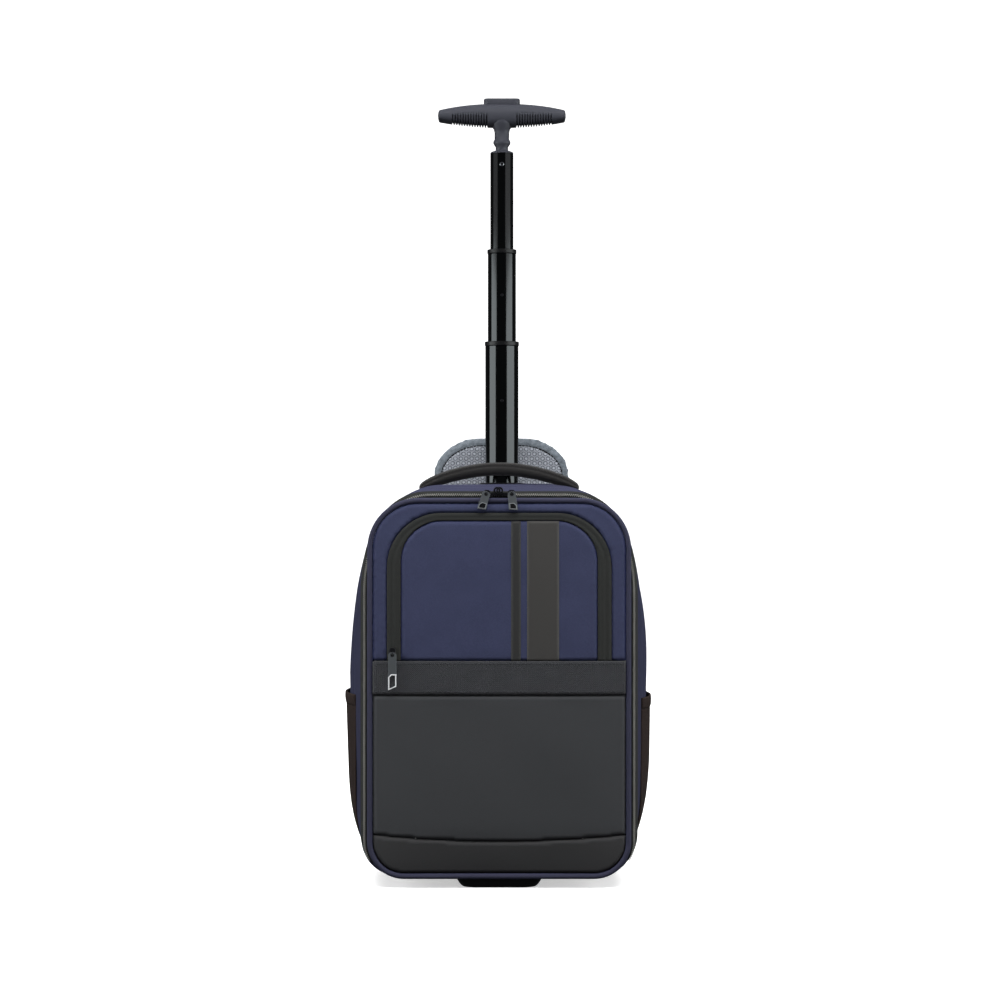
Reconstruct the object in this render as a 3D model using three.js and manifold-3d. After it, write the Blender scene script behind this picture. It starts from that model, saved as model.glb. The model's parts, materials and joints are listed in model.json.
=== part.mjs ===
// A wheeled backpack with a telescopic pole, standing on two rear wheels and a front foot.
// Millimetres. X points to the right of the front face, Y from the front to the back, Z up.

import * as THREE from 'three';
import { mergeVertices } from 'three/addons/utils/BufferGeometryUtils.js';
import Module from 'manifold-3d';

const wasm = await Module();
wasm.setup();

// Clearances between pieces, and how far a cut runs past what it cuts
const gap = 0.3;
const pocketGap = 0.5;
const cutPast = 20;

// The bag
const bagTop = 460;
const bagDepth = 200;
const shellWall = 2.5;

// The front face, measured over the piping, which lies lower and narrower than the bag behind it
const faceHalfWidth = 150;
const flankBulge = 22.5;
const bagHalfWidth = faceHalfWidth + flankBulge;
const topRise = 16;
const faceTop = bagTop - topRise;
const faceBottom = 11;
const rimLift = 2.3;
const faceTopCorner = 58;
const faceBottomCorner = 42;
const faceCrown = 6;
const panelThickness = 3;
const pipingRadius = 3;
const pipingBehindCrown = 2;

// The main zip behind the piping
const zipTapeReach = 7.6;
const zipTapeThickness = 1.2;
const zipTeethInner = 1.6;
const zipTeethWidth = 2.8;
const zipTeethHeight = 1.1;
const zipEndHeight = 30;
const rimCornerWider = 1.4;
const rimCornerTaller = 1.8;

// The front pocket, its stripes and the webbing under it
const pocketSideInset = 22.5;
const pocketTopInset = 17;
const pocketHalfWidth = faceHalfWidth - pocketSideInset;
const pocketTop = faceTop - pocketTopInset;
const pocketCorner = 62;
const pocketBandSide = 16;
const pocketBandTop = 9;
const pocketBandSink = 0.6;
const bandTop = 259;
const bandHeight = 38;
const bandProud = 1;
const stripeProud = 0.7;
const stripeThickness = 0.5;
const narrowStripe = { left: 13.5, width: 11 };
const wideStripe = { left: 31.5, width: 36.5 };
const baseSeamMiddle = 54;
const baseSeamRise = 9;

// Side pockets of stretch cloth
const sidePocketTop = 215;
const sidePocketFloor = 24;
const sidePocketWall = 1.2;
const sidePocketBulge = 3;
const hemHeight = 12.5;
const hemProud = 0.5;
const sidePocketFront = 30;
const sidePocketBack = 150;
const sidePocketInner = 0.72 * bagHalfWidth;
const sidePocketEdge = 2;

// The carry handle
const handleHalfSpan = 95;
const handleRise = 26;
const handlePeak = bagTop + handleRise;
const handleY = 95;
const handleWidth = 26;
const handleThickness = 15;
const handleSides = 10;

// The telescopic pole
const poleX = 3.3;
const poleY = 150;
const upperTubeRadius = 13.7;
const tubeWall = 1.4;
const stageRoom = 1.6;
const middleTubeRadius = upperTubeRadius + tubeWall + stageRoom;
const lowerTubeRadius = middleTubeRadius + tubeWall + stageRoom;
const outerTubeRadius = lowerTubeRadius + tubeWall + stageRoom;
const lowerTubeDrawn = 169.5;
const middleTubeDrawn = 109.5;
const upperTubeDrawn = 114;
const lowerTubeTop = bagTop + lowerTubeDrawn;
const middleTubeTop = lowerTubeTop + middleTubeDrawn;
const upperTubeTop = middleTubeTop + upperTubeDrawn;
const tubeOverlap = 44;
const outerTubeBelowTop = 1;
const socketDepth = 60;
const collarHeight = 5;
const collarProud = 0.6;
const bezelRim = 4.3;
const bezelHeight = 1.5;
const detentRadius = 2.2;
const middleDetentDrop = 55;
const lowerDetentDrop = 70.5;
const screwDrop = 13.5;
const screwRadius = 2.8;
const screwSink = 0.1;

// The grip and its button
const gripHalfSpan = 76;
const neckLength = 31;
const gripHeight = 28.5;
const gripUnderside = upperTubeTop + neckLength;
const gripTop = gripUnderside + gripHeight;
const gripHalfDepth = 15;
const gripSides = 8;
const gripTopFall = 9.5;
const gripTopCurve = 1.6;
const gripBellyRise = 6;
const gripDepthTaper = 3;
const gripEndTable = [
  { along: 0.55, slimming: 0.97 },
  { along: 0.82, slimming: 0.8 },
  { along: 0.95, slimming: 0.55 },
  { along: 1, slimming: 0.3 },
];
const ribCount = 13;
const ribPitch = 3.1;
const ribDepth = 0.09;
const ribStart = 15;
const neckRadius = 10;
const neckWaist = 7.7;
const neckFlange = 1.5;
const neckWaistStart = 2.5;
const neckWaistEnd = 6;
const neckWaistSlope = 2;
const neckFlare = 3;
const neckPlug = 10;
const neckIntoGrip = 5;
const buttonLength = 38;
const buttonWidth = 14;
const buttonRise = 6;
const buttonTop = gripTop + buttonRise;
const buttonTravel = 3.5;
const buttonDepth = 8;
const buttonCorner = 6;

// The back
const flapHalfWidth = 82;
const flapRise = 56;
const flapHeight = 112;
const flapTop = bagTop + flapRise;
const flapBottom = flapTop - flapHeight;
const flapCornerWide = 58;
const flapCornerTall = 46;
const flapLowCorner = 6;
const flapThickness = 8;
const padInset = 25;
const padHalfWidth = faceHalfWidth - padInset;
const padBelowFlap = 7;
const padTop = flapBottom - padBelowFlap;
const padBottom = 140;
const padThickness = 8;
const padCorner = 30;
const strapBelowPadTop = 6;
const strapAbovePadBottom = 10;
const strapThickness = 11;
const strapHalfWidth = 31;
const webbingHalfWidth = 12.5;
const webbingThickness = 2;
const webbingBottom = 84;

// Sliders and pull tabs of the zips
const sliderWidth = 8;
const sliderLength = 9;
const sliderHeight = 3.5;
const mainSliderOffset = 14;
const tabWidth = 10;
const tabThickness = 1.6;
const mainTabLength = 22;
const mainTabSwing = 17;
const pocketTabLength = 43;
const tabWindow = 0.62;
const tabDrop = 0.5;
const eyeHalfWidth = 2.1;
const eyeTop = 1.3;
const eyeHeight = 3.8;
const tabShoulder = 3;
const tabNeck = 0.7;
const tabSlant = 2.5;
const windowFrame = 1.6;
const windowSill = 1.9;
const windowSlant = 1.7;
const windowHeight = 15;
const windowTopSlant = 1.5;
const bailWire = 1.5;
const bailDrop = 3.8;
const bailDepth = 5.2;
const bailFront = 1.6;
const bailIntoBody = 0.5;
const sliderBelowZip = 2;
const mainBailRise = 4.6;
const mainTabStandOff = 5.4;
const pocketTabStandOff = 3.2;
const tabBehindBail = 1;
const noseHeight = 4;
const noseBelowZip = 1;
const noseThickness = 1.6;
const noseHalfGap = 0.6;
const pocketSliderAbove = 15;
const pocketBailAbove = 10;
const pocketSliderShift = 1.5;
const mainTabLean = 3;

// Running gear
const wheelRadius = 30;
const wheelWidth = 22;
const wheelInset = 32;
const wheelX = faceHalfWidth - wheelInset;
const wheelFromBack = 18;
const wheelY = bagDepth - wheelFromBack;
const tyreThickness = 6;
const axleRadius = 4;
const tyreShoulder = 2;
const coreInset = 1;
const wheelRoom = 2.7;
const wheelSideRoom = 1.7;
const housingWall = 4.5;
const housingNose = 7.3;
const housingHalfWidth = wheelWidth / 2 + wheelSideRoom + housingWall;
const housingFront = wheelY - wheelRadius - wheelRoom - housingNose;
const housingBack = wheelY + wheelRadius * 0.8;
const housingFloor = 9;
const housingFrontCorner = 20;
const housingBackCorner = 24;
const wellTopShare = 0.75;
const footHalfWidth = 50;
const footFront = 13;
const footDepth = 33;
const footCorner = [15, 13];
const basePlateThickness = 3;
const basePlateFromBack = 12;

// Finishes
const navyCloth = { color: '#3c4058', roughness: 0.85 };
const sideCloth = { color: '#474557', roughness: 0.9 };
const blackCloth = { color: '#2b2c2b', roughness: 0.8 };
const stripeCloth = { color: '#3b3a38', roughness: 0.6 };
const coatedCloth = { color: '#3e3f42', roughness: 0.7 };
const stretchCloth = { color: '#322c2c', roughness: 0.95 };
const greyCloth = { color: '#8b9096', roughness: 0.95 };
const pipingCloth = { color: '#41455e', roughness: 0.7 };
const nickel = { color: '#9c9b96', roughness: 0.35, metalness: 1 };
const blackMetal = { color: '#17171a', roughness: 0.3, metalness: 0.8 };
const blackAluminium = { color: '#141418', roughness: 0.2, metalness: 0.9 };
const blackPlastic = { color: '#1d1e21', roughness: 0.5 };
const greyPlastic = { color: '#33363b', roughness: 0.5 };
const tyreRubber = { color: '#161617', roughness: 0.85 };

const backpack = new THREE.Group();

function add(name, body, finish) {
  const geometry = body.isBufferGeometry ? body : geometryOf(body);
  const mesh = new THREE.Mesh(geometry, new THREE.MeshStandardMaterial(finish));
  mesh.name = name;
  backpack.add(mesh);
  return mesh;
}

// Closed meshes and their joins and cuts

function closedGeometry(points, triangles) {
  let volume = 0;
  for (const [a, b, c] of triangles) {
    volume += points[a].dot(points[b].clone().cross(points[c]));
  }
  const faces = volume < 0 ? triangles.map(([a, b, c]) => [a, c, b]) : triangles;
  const geometry = new THREE.BufferGeometry();
  geometry.setAttribute(
    'position',
    new THREE.Float32BufferAttribute(points.flatMap((point) => point.toArray()), 3),
  );
  geometry.setIndex(faces.flat());
  return geometry;
}

function solid(geometry) {
  const plain = geometry.clone();
  plain.deleteAttribute('normal');
  plain.deleteAttribute('uv');
  const merged = mergeVertices(plain, 1e-4);
  return new wasm.Manifold(new wasm.Mesh({
    numProp: 3,
    vertProperties: new Float32Array(merged.attributes.position.array),
    triVerts: new Uint32Array(merged.index.array),
  }));
}

function geometryOf(body) {
  const mesh = body.getMesh();
  const geometry = new THREE.BufferGeometry();
  geometry.setAttribute('position', new THREE.Float32BufferAttribute(mesh.vertProperties, 3));
  geometry.setIndex(Array.from(mesh.triVerts));
  return geometry;
}

function joined(bodies) {
  return bodies.reduce((whole, body) => whole.add(body));
}

// Rings of points, one behind the other, become a skin. A loop of rings needs no end caps.
function loft(rings, { loop = false } = {}) {
  const count = rings[0].length;
  const points = rings.flat();
  const triangles = [];
  const last = loop ? rings.length : rings.length - 1;
  for (let row = 0; row < last; row += 1) {
    const near = row * count;
    const far = ((row + 1) % rings.length) * count;
    for (let column = 0; column < count; column += 1) {
      const next = (column + 1) % count;
      triangles.push([near + column, far + column, near + next]);
      triangles.push([near + next, far + column, far + next]);
    }
  }
  if (!loop) {
    cap(points, triangles, rings[0], 0, false);
    cap(points, triangles, rings.at(-1), (rings.length - 1) * count, true);
  }
  return closedGeometry(points, triangles);
}

function cap(points, triangles, ring, start, back) {
  const centre = new THREE.Vector3();
  ring.forEach((point) => centre.addScaledVector(point, 1 / ring.length));
  const middle = points.push(centre) - 1;
  ring.forEach((_, column) => {
    const next = start + ((column + 1) % ring.length);
    triangles.push(back ? [middle, next, start + column] : [middle, start + column, next]);
  });
}

function box(x0, x1, y0, y1, z0, z1) {
  const geometry = new THREE.BoxGeometry(x1 - x0, y1 - y0, z1 - z0);
  return solid(geometry.translate((x0 + x1) / 2, (y0 + y1) / 2, (z0 + z1) / 2));
}

// An outline drawn in X and Z, with its thickness along Y
function prismAcross(shape, front, back) {
  const geometry = new THREE.ExtrudeGeometry(shape, {
    depth: back - front,
    bevelEnabled: false,
    curveSegments: 8,
  });
  return solid(geometry.rotateX(Math.PI / 2).translate(0, back, 0));
}

// An outline drawn in Y and Z, with its thickness along X
function prismAlong(shape, left, right) {
  const geometry = new THREE.ExtrudeGeometry(shape, {
    depth: right - left,
    bevelEnabled: false,
    curveSegments: 5,
  });
  const upright = new THREE.Matrix4().makeBasis(
    new THREE.Vector3(0, 1, 0),
    new THREE.Vector3(0, 0, 1),
    new THREE.Vector3(1, 0, 0),
  );
  return solid(geometry.applyMatrix4(upright).translate(left, 0, 0));
}

// A turned piece on an upright axis, from a list of [radius, height] that closes on itself
function turned(profile, x, y, sides = 18) {
  const closed = [...profile, profile[0]].map(([radius, height]) => new THREE.Vector2(radius, height));
  const geometry = new THREE.LatheGeometry(closed, sides);
  return solid(geometry.rotateX(Math.PI / 2).translate(x, y, 0));
}

function pipe(outer, inner, bottom, top, x, y) {
  return turned([[inner, bottom], [outer, bottom], [outer, top], [inner, top]], x, y);
}

function rod(radius, from, to, sides = 8) {
  const line = new THREE.LineCurve3(new THREE.Vector3(...from), new THREE.Vector3(...to));
  const section = new THREE.Shape().absarc(0, 0, radius, 0, Math.PI * 2);
  return solid(new THREE.ExtrudeGeometry(section, {
    steps: 1,
    curveSegments: sides,
    extrudePath: line,
  }));
}

// The outline of a section of the bag: flat edges with elliptic corners

const cornerSteps = 6;
const topEdgeSteps = 2;
const bottomEdgeSteps = 2;
const sideSteps = 3;

function outline(section) {
  const { halfWidth, bottom, top, bottomCorner, topCorner, power = 2 } = section;
  const right = [];
  const lowX = halfWidth - bottomCorner[0];
  const lowZ = bottom + bottomCorner[1];
  const highX = halfWidth - topCorner[0];
  const highZ = top - topCorner[1];
  const round = (value) => value ** (2 / power);
  for (let step = 0; step < bottomEdgeSteps; step += 1) {
    right.push([lowX * step / bottomEdgeSteps, bottom]);
  }
  for (let step = 0; step <= cornerSteps; step += 1) {
    const angle = Math.PI / 2 * step / cornerSteps;
    right.push([
      lowX + bottomCorner[0] * round(Math.sin(angle)),
      lowZ - bottomCorner[1] * round(Math.abs(Math.cos(angle))),
    ]);
  }
  for (let step = 1; step < sideSteps; step += 1) {
    right.push([halfWidth, lowZ + (highZ - lowZ) * step / sideSteps]);
  }
  for (let step = 0; step <= cornerSteps; step += 1) {
    const angle = Math.PI / 2 * step / cornerSteps;
    right.push([
      highX + topCorner[0] * round(Math.abs(Math.cos(angle))),
      highZ + topCorner[1] * round(Math.sin(angle)),
    ]);
  }
  for (let step = 1; step <= topEdgeSteps; step += 1) {
    right.push([highX * (1 - step / topEdgeSteps), top]);
  }
  const left = right.slice(1, -1).reverse().map(([x, z]) => [-x, z]);
  return [...right, ...left];
}

function ringAt(section, y) {
  return outline(section).map(([x, z]) => new THREE.Vector3(x, y, z));
}

// The same outline with every edge moved outwards, or inwards if the distance is negative
function grown(section, distance) {
  const corner = ([x, z]) => [Math.max(x + distance, 1), Math.max(z + distance, 1)];
  return {
    ...section,
    halfWidth: section.halfWidth + distance,
    bottom: section.bottom - distance,
    top: section.top + distance,
    bottomCorner: corner(section.bottomCorner),
    topCorner: corner(section.topCorner),
  };
}

const faceSection = {
  halfWidth: faceHalfWidth,
  bottom: faceBottom,
  top: faceTop,
  bottomCorner: [faceBottomCorner, faceBottomCorner],
  topCorner: [faceTopCorner, faceTopCorner],
};

const pipingY = faceCrown + pipingBehindCrown;
const tapeFront = pipingY + pipingRadius + gap;
const tapeBack = tapeFront + zipTapeThickness;
const shellFront = tapeBack + gap;

// The main shell: a row for each section from behind the zip to the back. Depth is a share of the
// bag's depth, width of its half width, top and bottom of its top. The corners are ellipses.
const shellColumns = [
  'depth', 'width', 'top', 'bottom', 'highWide', 'highTall', 'lowWide', 'lowTall', 'power',
];
const shellTable = [
  [0.085, 0.945, 0.990, 0.0337, 0.51, 0.315, 0.29, 0.18, 2.1],
  [0.260, 0.985, 0.997, 0.0337, 0.60, 0.42, 0.31, 0.24, 2.2],
  [0.480, 1.000, 1.000, 0.0337, 0.65, 0.47, 0.325, 0.272, 2.3],
  [0.740, 0.990, 1.000, 0.0337, 0.65, 0.47, 0.325, 0.272, 2.3],
  [0.895, 0.955, 0.991, 0.0337, 0.62, 0.44, 0.31, 0.26, 2.3],
  [0.970, 0.905, 0.976, 0.0450, 0.56, 0.40, 0.28, 0.24, 2.2],
  [1.000, 0.850, 0.955, 0.0780, 0.50, 0.35, 0.25, 0.21, 2.2],
].map((cells) => Object.fromEntries(cells.map((cell, index) => [shellColumns[index], cell])));

const rimSection = {
  ...grown(faceSection, zipTapeReach),
  bottom: faceBottom + rimLift,
  topCorner: [
    faceTopCorner + rimCornerWider * zipTapeReach,
    faceTopCorner + rimCornerTaller * zipTapeReach,
  ],
};

const shellSections = [
  { depth: 0, section: rimSection },
  ...shellTable.map((row) => ({
    depth: row.depth,
    section: {
      halfWidth: row.width * bagHalfWidth,
      bottom: row.bottom * bagTop,
      top: row.top * bagTop,
      bottomCorner: [row.lowWide * bagHalfWidth, row.lowTall * bagTop],
      topCorner: [row.highWide * bagHalfWidth, row.highTall * bagTop],
      power: row.power,
    },
  })),
];

const shellY = (row) => shellFront + row.depth * (bagDepth - shellFront);

function shellSolid(distance, { front = 0, back = 0 } = {}) {
  const rings = shellSections.map((row, index) => {
    let y = shellY(row);
    y -= index === 0 ? front : 0;
    y += index === shellSections.length - 1 ? back : 0;
    return ringAt(grown(row.section, distance), y);
  });
  return solid(loft(rings));
}

const shellBottom = shellSections[1].section.bottom;

// The front face: a crowned sheet, from which every panel of the front is cut

const faceMiddle = (faceTop + faceBottom) / 2;
const faceHalfHeight = (faceTop - faceBottom) / 2;

function faceDepth(x, z) {
  const across = 1 - (Math.min(Math.abs(x) / faceHalfWidth, 1)) ** 4;
  const upwards = 1 - (Math.min(Math.abs(z - faceMiddle) / faceHalfHeight, 1)) ** 4;
  return faceCrown * (1 - across * upwards);
}

function crownedSlab(front, back) {
  const columns = 8;
  const rows = 10;
  const surface = (offset) => {
    const points = [];
    for (let row = 0; row <= rows; row += 1) {
      for (let column = 0; column <= columns; column += 1) {
        const x = faceHalfWidth * (2 * column / columns - 1);
        const z = faceBottom + 2 * faceHalfHeight * row / rows;
        points.push(new THREE.Vector3(x, faceDepth(x, z) + offset, z));
      }
    }
    return points;
  };
  const points = [...surface(front), ...surface(back)];
  const sheet = (columns + 1) * (rows + 1);
  const triangles = [];
  const at = (row, column) => row * (columns + 1) + column;
  for (let row = 0; row < rows; row += 1) {
    for (let column = 0; column < columns; column += 1) {
      const [a, b] = [at(row, column), at(row, column + 1)];
      const [c, d] = [at(row + 1, column + 1), at(row + 1, column)];
      triangles.push([a, b, c], [a, c, d]);
      triangles.push([a + sheet, c + sheet, b + sheet], [a + sheet, d + sheet, c + sheet]);
    }
  }
  const rim = [];
  for (let column = 0; column < columns; column += 1) rim.push(at(0, column));
  for (let row = 0; row < rows; row += 1) rim.push(at(row, columns));
  for (let column = columns; column > 0; column -= 1) rim.push(at(rows, column));
  for (let row = rows; row > 0; row -= 1) rim.push(at(row, 0));
  rim.forEach((corner, index) => {
    const next = rim[(index + 1) % rim.length];
    triangles.push([corner, corner + sheet, next], [next, corner + sheet, next + sheet]);
  });
  return solid(closedGeometry(points, triangles));
}

const prismFront = -cutPast;
const prismBack = 2 * cutPast;
const faceInset = 2 * pipingRadius + gap;
const faceShape = new THREE.Shape(
  outline(grown(faceSection, -faceInset)).map(([x, z]) => new THREE.Vector2(x, z)),
);
const facePrism = prismAcross(faceShape, prismFront, prismBack);

function facePanel(area, proud, thickness) {
  return crownedSlab(-proud, thickness - proud).intersect(facePrism).intersect(area);
}

function archShape(halfWidth, top, corner, bottom) {
  const shape = new THREE.Shape();
  shape.moveTo(-halfWidth, bottom);
  shape.lineTo(halfWidth, bottom);
  shape.lineTo(halfWidth, top - corner);
  shape.absarc(halfWidth - corner, top - corner, corner, 0, Math.PI / 2);
  shape.lineTo(-halfWidth + corner, top);
  shape.absarc(-halfWidth + corner, top - corner, corner, Math.PI / 2, Math.PI);
  return shape;
}

function archPrism(distance, side = 0, above = 0) {
  const shape = archShape(
    pocketHalfWidth - side + distance,
    pocketTop - above + distance,
    pocketCorner - side + distance,
    bandTop + gap,
  );
  return prismAcross(shape, prismFront, prismBack);
}

function frontFace() {
  const reach = faceHalfWidth + cutPast;
  const upper = box(-reach, reach, prismFront, prismBack, bandTop + gap, faceTop + cutPast);
  add('front_surround', facePanel(upper.subtract(archPrism(gap)), 0, panelThickness), navyCloth);

  const pocketInside = archPrism(0, pocketBandSide, pocketBandTop);
  const tapeArea = archPrism(0).subtract(archPrism(gap, pocketBandSide, pocketBandTop));
  add('pocket_zip_tape', facePanel(tapeArea, -pocketBandSink, panelThickness - pocketBandSink), blackCloth);
  add('pocket_panel', facePanel(pocketInside, 0, panelThickness), navyCloth);

  const stripeTop = pocketTop - pocketBandTop - gap;
  for (const [name, stripe] of [['stripe_narrow', narrowStripe], ['stripe_wide', wideStripe]]) {
    const area = box(
      stripe.left, stripe.left + stripe.width,
      prismFront, prismBack,
      bandTop + gap, stripeTop,
    );
    add(name, facePanel(area, stripeProud + gap, stripeThickness), stripeCloth);
  }

  const bandBottom = bandTop - bandHeight;
  const band = box(-reach, reach, prismFront, prismBack, bandBottom, bandTop);
  add('webbing_band', facePanel(band, bandProud, panelThickness), blackCloth);

  const below = (height) => {
    const shape = new THREE.Shape();
    shape.moveTo(-reach, faceBottom - cutPast);
    shape.lineTo(reach, faceBottom - cutPast);
    shape.lineTo(reach, height + baseSeamRise);
    shape.quadraticCurveTo(0, height - baseSeamRise, -reach, height + baseSeamRise);
    return prismAcross(shape, prismFront, prismBack);
  };
  const seam = baseSeamMiddle;
  add('bottom_panel', facePanel(below(seam), 0, panelThickness), coatedCloth);
  const lower = box(-reach, reach, prismFront, prismBack, faceBottom, bandBottom - gap);
  add('lower_panel', facePanel(lower.subtract(below(seam + gap)), 0, panelThickness), coatedCloth);
}

// Piping, zip tape and teeth run round the outline of the face

function ringBand(inner, outer, front, back) {
  const rings = [
    ringAt(inner, front),
    ringAt(outer, front),
    ringAt(outer, back),
    ringAt(inner, back),
  ];
  return solid(loft(rings, { loop: true }));
}

function piping() {
  const sides = 6;
  const rings = [];
  for (let side = 0; side < sides; side += 1) {
    const angle = (2 * Math.PI * side) / sides;
    const distance = -pipingRadius + pipingRadius * Math.cos(angle);
    rings.push(ringAt(grown(faceSection, distance), pipingY + pipingRadius * Math.sin(angle)));
  }
  add('front_piping', loft(rings, { loop: true }), pipingCloth);
}

function mainZip() {
  const tapeInner = grown(faceSection, -2 * pipingRadius);
  const ring = ringBand(tapeInner, rimSection, tapeFront, tapeBack);
  const reach = bagHalfWidth + cutPast;
  const above = (height) => box(-reach, reach, prismFront, prismBack, height, bagTop + cutPast);
  const under = (height) => box(-reach, reach, prismFront, prismBack, faceBottom - cutPast, height);
  add('main_zip_tape', ring.intersect(above(zipEndHeight)), blackCloth);
  add('bottom_gusset', ring.intersect(under(zipEndHeight - gap)), sideCloth);
  const teeth = ringBand(
    grown(faceSection, zipTeethInner),
    grown(faceSection, zipTeethInner + zipTeethWidth),
    tapeFront - gap - zipTeethHeight,
    tapeFront - gap,
  );
  add('main_zip_teeth', teeth.intersect(above(zipEndHeight)), nickel);
}

// Wheels, their housings and what stands on the floor

function housingBlock(side, distance) {
  const half = housingHalfWidth + distance;
  const ridge = 2 * wheelRadius + wheelRoom + housingWall + distance;
  const front = housingFront - distance;
  const back = housingBack + distance;
  const floor = housingFloor - distance;
  const shape = new THREE.Shape();
  shape.moveTo(front, floor);
  shape.lineTo(back, floor);
  shape.lineTo(back, ridge - housingBackCorner);
  shape.absarc(back - housingBackCorner, ridge - housingBackCorner, housingBackCorner, 0, Math.PI / 2);
  shape.lineTo(front + housingFrontCorner, ridge);
  shape.absarc(
    front + housingFrontCorner,
    ridge - housingFrontCorner,
    housingFrontCorner,
    Math.PI / 2,
    Math.PI,
  );
  return prismAlong(shape, side * wheelX - half, side * wheelX + half);
}

function wheelWell(side) {
  const half = wheelWidth / 2 + wheelSideRoom;
  const reach = wheelRadius + wheelRoom;
  const start = Math.asin(wellTopShare);
  const shape = new THREE.Shape();
  shape.moveTo(wheelY - reach, housingFloor - cutPast);
  shape.lineTo(housingBack + cutPast, housingFloor - cutPast);
  shape.lineTo(housingBack + cutPast, wheelRadius + reach * wellTopShare);
  shape.lineTo(wheelY + reach * Math.cos(start), wheelRadius + reach * wellTopShare);
  shape.absarc(wheelY, wheelRadius, reach, start, Math.PI);
  return prismAlong(shape, side * wheelX - half, side * wheelX + half);
}

function wheelRing(side, inner, outer, halfWidth) {
  const shoulder = halfWidth - tyreShoulder;
  const profile = [[inner, -halfWidth], [outer, -shoulder], [outer, shoulder], [inner, halfWidth]];
  const shape = [...profile, profile[0]].map(([radius, along]) => new THREE.Vector2(radius, along));
  const geometry = new THREE.LatheGeometry(shape, 24);
  return solid(geometry.rotateZ(Math.PI / 2).translate(side * wheelX, wheelY, wheelRadius));
}

function runningGear() {
  for (const [side, hand] of [[-1, 'left'], [1, 'right']]) {
    const at = (x) => [side * wheelX + x, wheelY, wheelRadius];
    const past = housingHalfWidth + cutPast;
    const bore = rod(axleRadius + gap, at(-past), at(past));
    add(
      `wheel_housing_${hand}`,
      housingBlock(side, 0).subtract(wheelWell(side)).subtract(bore),
      blackPlastic,
    );
    add(`wheel_axle_${hand}`, rod(axleRadius, at(-housingHalfWidth), at(housingHalfWidth)), nickel);
    const coreRadius = wheelRadius - tyreThickness;
    const core = wheelRing(side, axleRadius + gap, coreRadius, wheelWidth / 2 - coreInset);
    add(`wheel_core_${hand}`, core, greyPlastic);
    add(
      `wheel_tyre_${hand}`,
      wheelRing(side, coreRadius + gap, wheelRadius, wheelWidth / 2),
      tyreRubber,
    );
  }

  const plateTop = shellBottom - gap;
  const plateBottom = plateTop - basePlateThickness;
  const plateHalfWidth = wheelX - housingHalfWidth - pocketGap;
  const plate = box(
    -plateHalfWidth, plateHalfWidth,
    footFront + footDepth + gap, bagDepth - basePlateFromBack,
    plateBottom, plateTop,
  );
  add('base_plate', plate, blackPlastic);

  const footTop = rimSection.bottom - gap;
  const footLevels = [
    { height: 0, inset: 9 },
    { height: 0.12, inset: 6 },
    { height: 0.55, inset: 2.5 },
    { height: 1, inset: 0 },
  ];
  const rings = footLevels.map(({ height, inset }) => {
    const shape = outline({
      halfWidth: footHalfWidth - inset,
      bottom: footFront + inset / 2,
      top: footFront + footDepth - inset / 2,
      bottomCorner: footCorner,
      topCorner: footCorner,
    });
    return shape.map(([x, y]) => new THREE.Vector3(x, y, height * footTop));
  });
  add('front_foot', loft(rings), blackPlastic);
}

// The hollow shell, open at the front, with holes for the pole and the wheel housings

const outerTubeTop = bagTop - outerTubeBelowTop;
const outerTubeBottom = shellBottom + shellWall + gap;

function mainShell() {
  const inside = shellSolid(-shellWall, { front: cutPast, back: -shellWall });
  const holeRadius = outerTubeRadius + pocketGap;
  const holeBottom = bagTop - socketDepth;
  const holeTop = bagTop + cutPast;
  const poleHole = turned(
    [[0, holeBottom], [holeRadius, holeBottom], [holeRadius, holeTop], [0, holeTop]],
    poleX,
    poleY,
  );
  let shell = shellSolid(0).subtract(inside).subtract(poleHole);
  for (const side of [-1, 1]) {
    shell = shell.subtract(housingBlock(side, pocketGap));
  }
  add('main_shell', shell, sideCloth);
}

// Side pockets hang off the flanks of the shell, fullest near their mouth

function pocketSkin(proud) {
  const rings = shellSections.slice(0, 6).map((row) => {
    const y = shellY(row);
    const share = (y - sidePocketFront) / (sidePocketBack - sidePocketFront);
    const across = share <= 0 || share >= 1 ? 0 : Math.sin(Math.PI * share) ** 0.6;
    return outline(row.section).map(([x, z]) => {
      const height = THREE.MathUtils.clamp((z - sidePocketFloor) / (sidePocketTop - sidePocketFloor), 0, 1);
      const upwards = 0.25 + 0.75 * Math.sin(Math.PI / 2 * height);
      const reach = proud + sidePocketBulge * across * upwards;
      return new THREE.Vector3(x + Math.sign(x) * reach, y, z);
    });
  });
  return solid(loft(rings));
}

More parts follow.
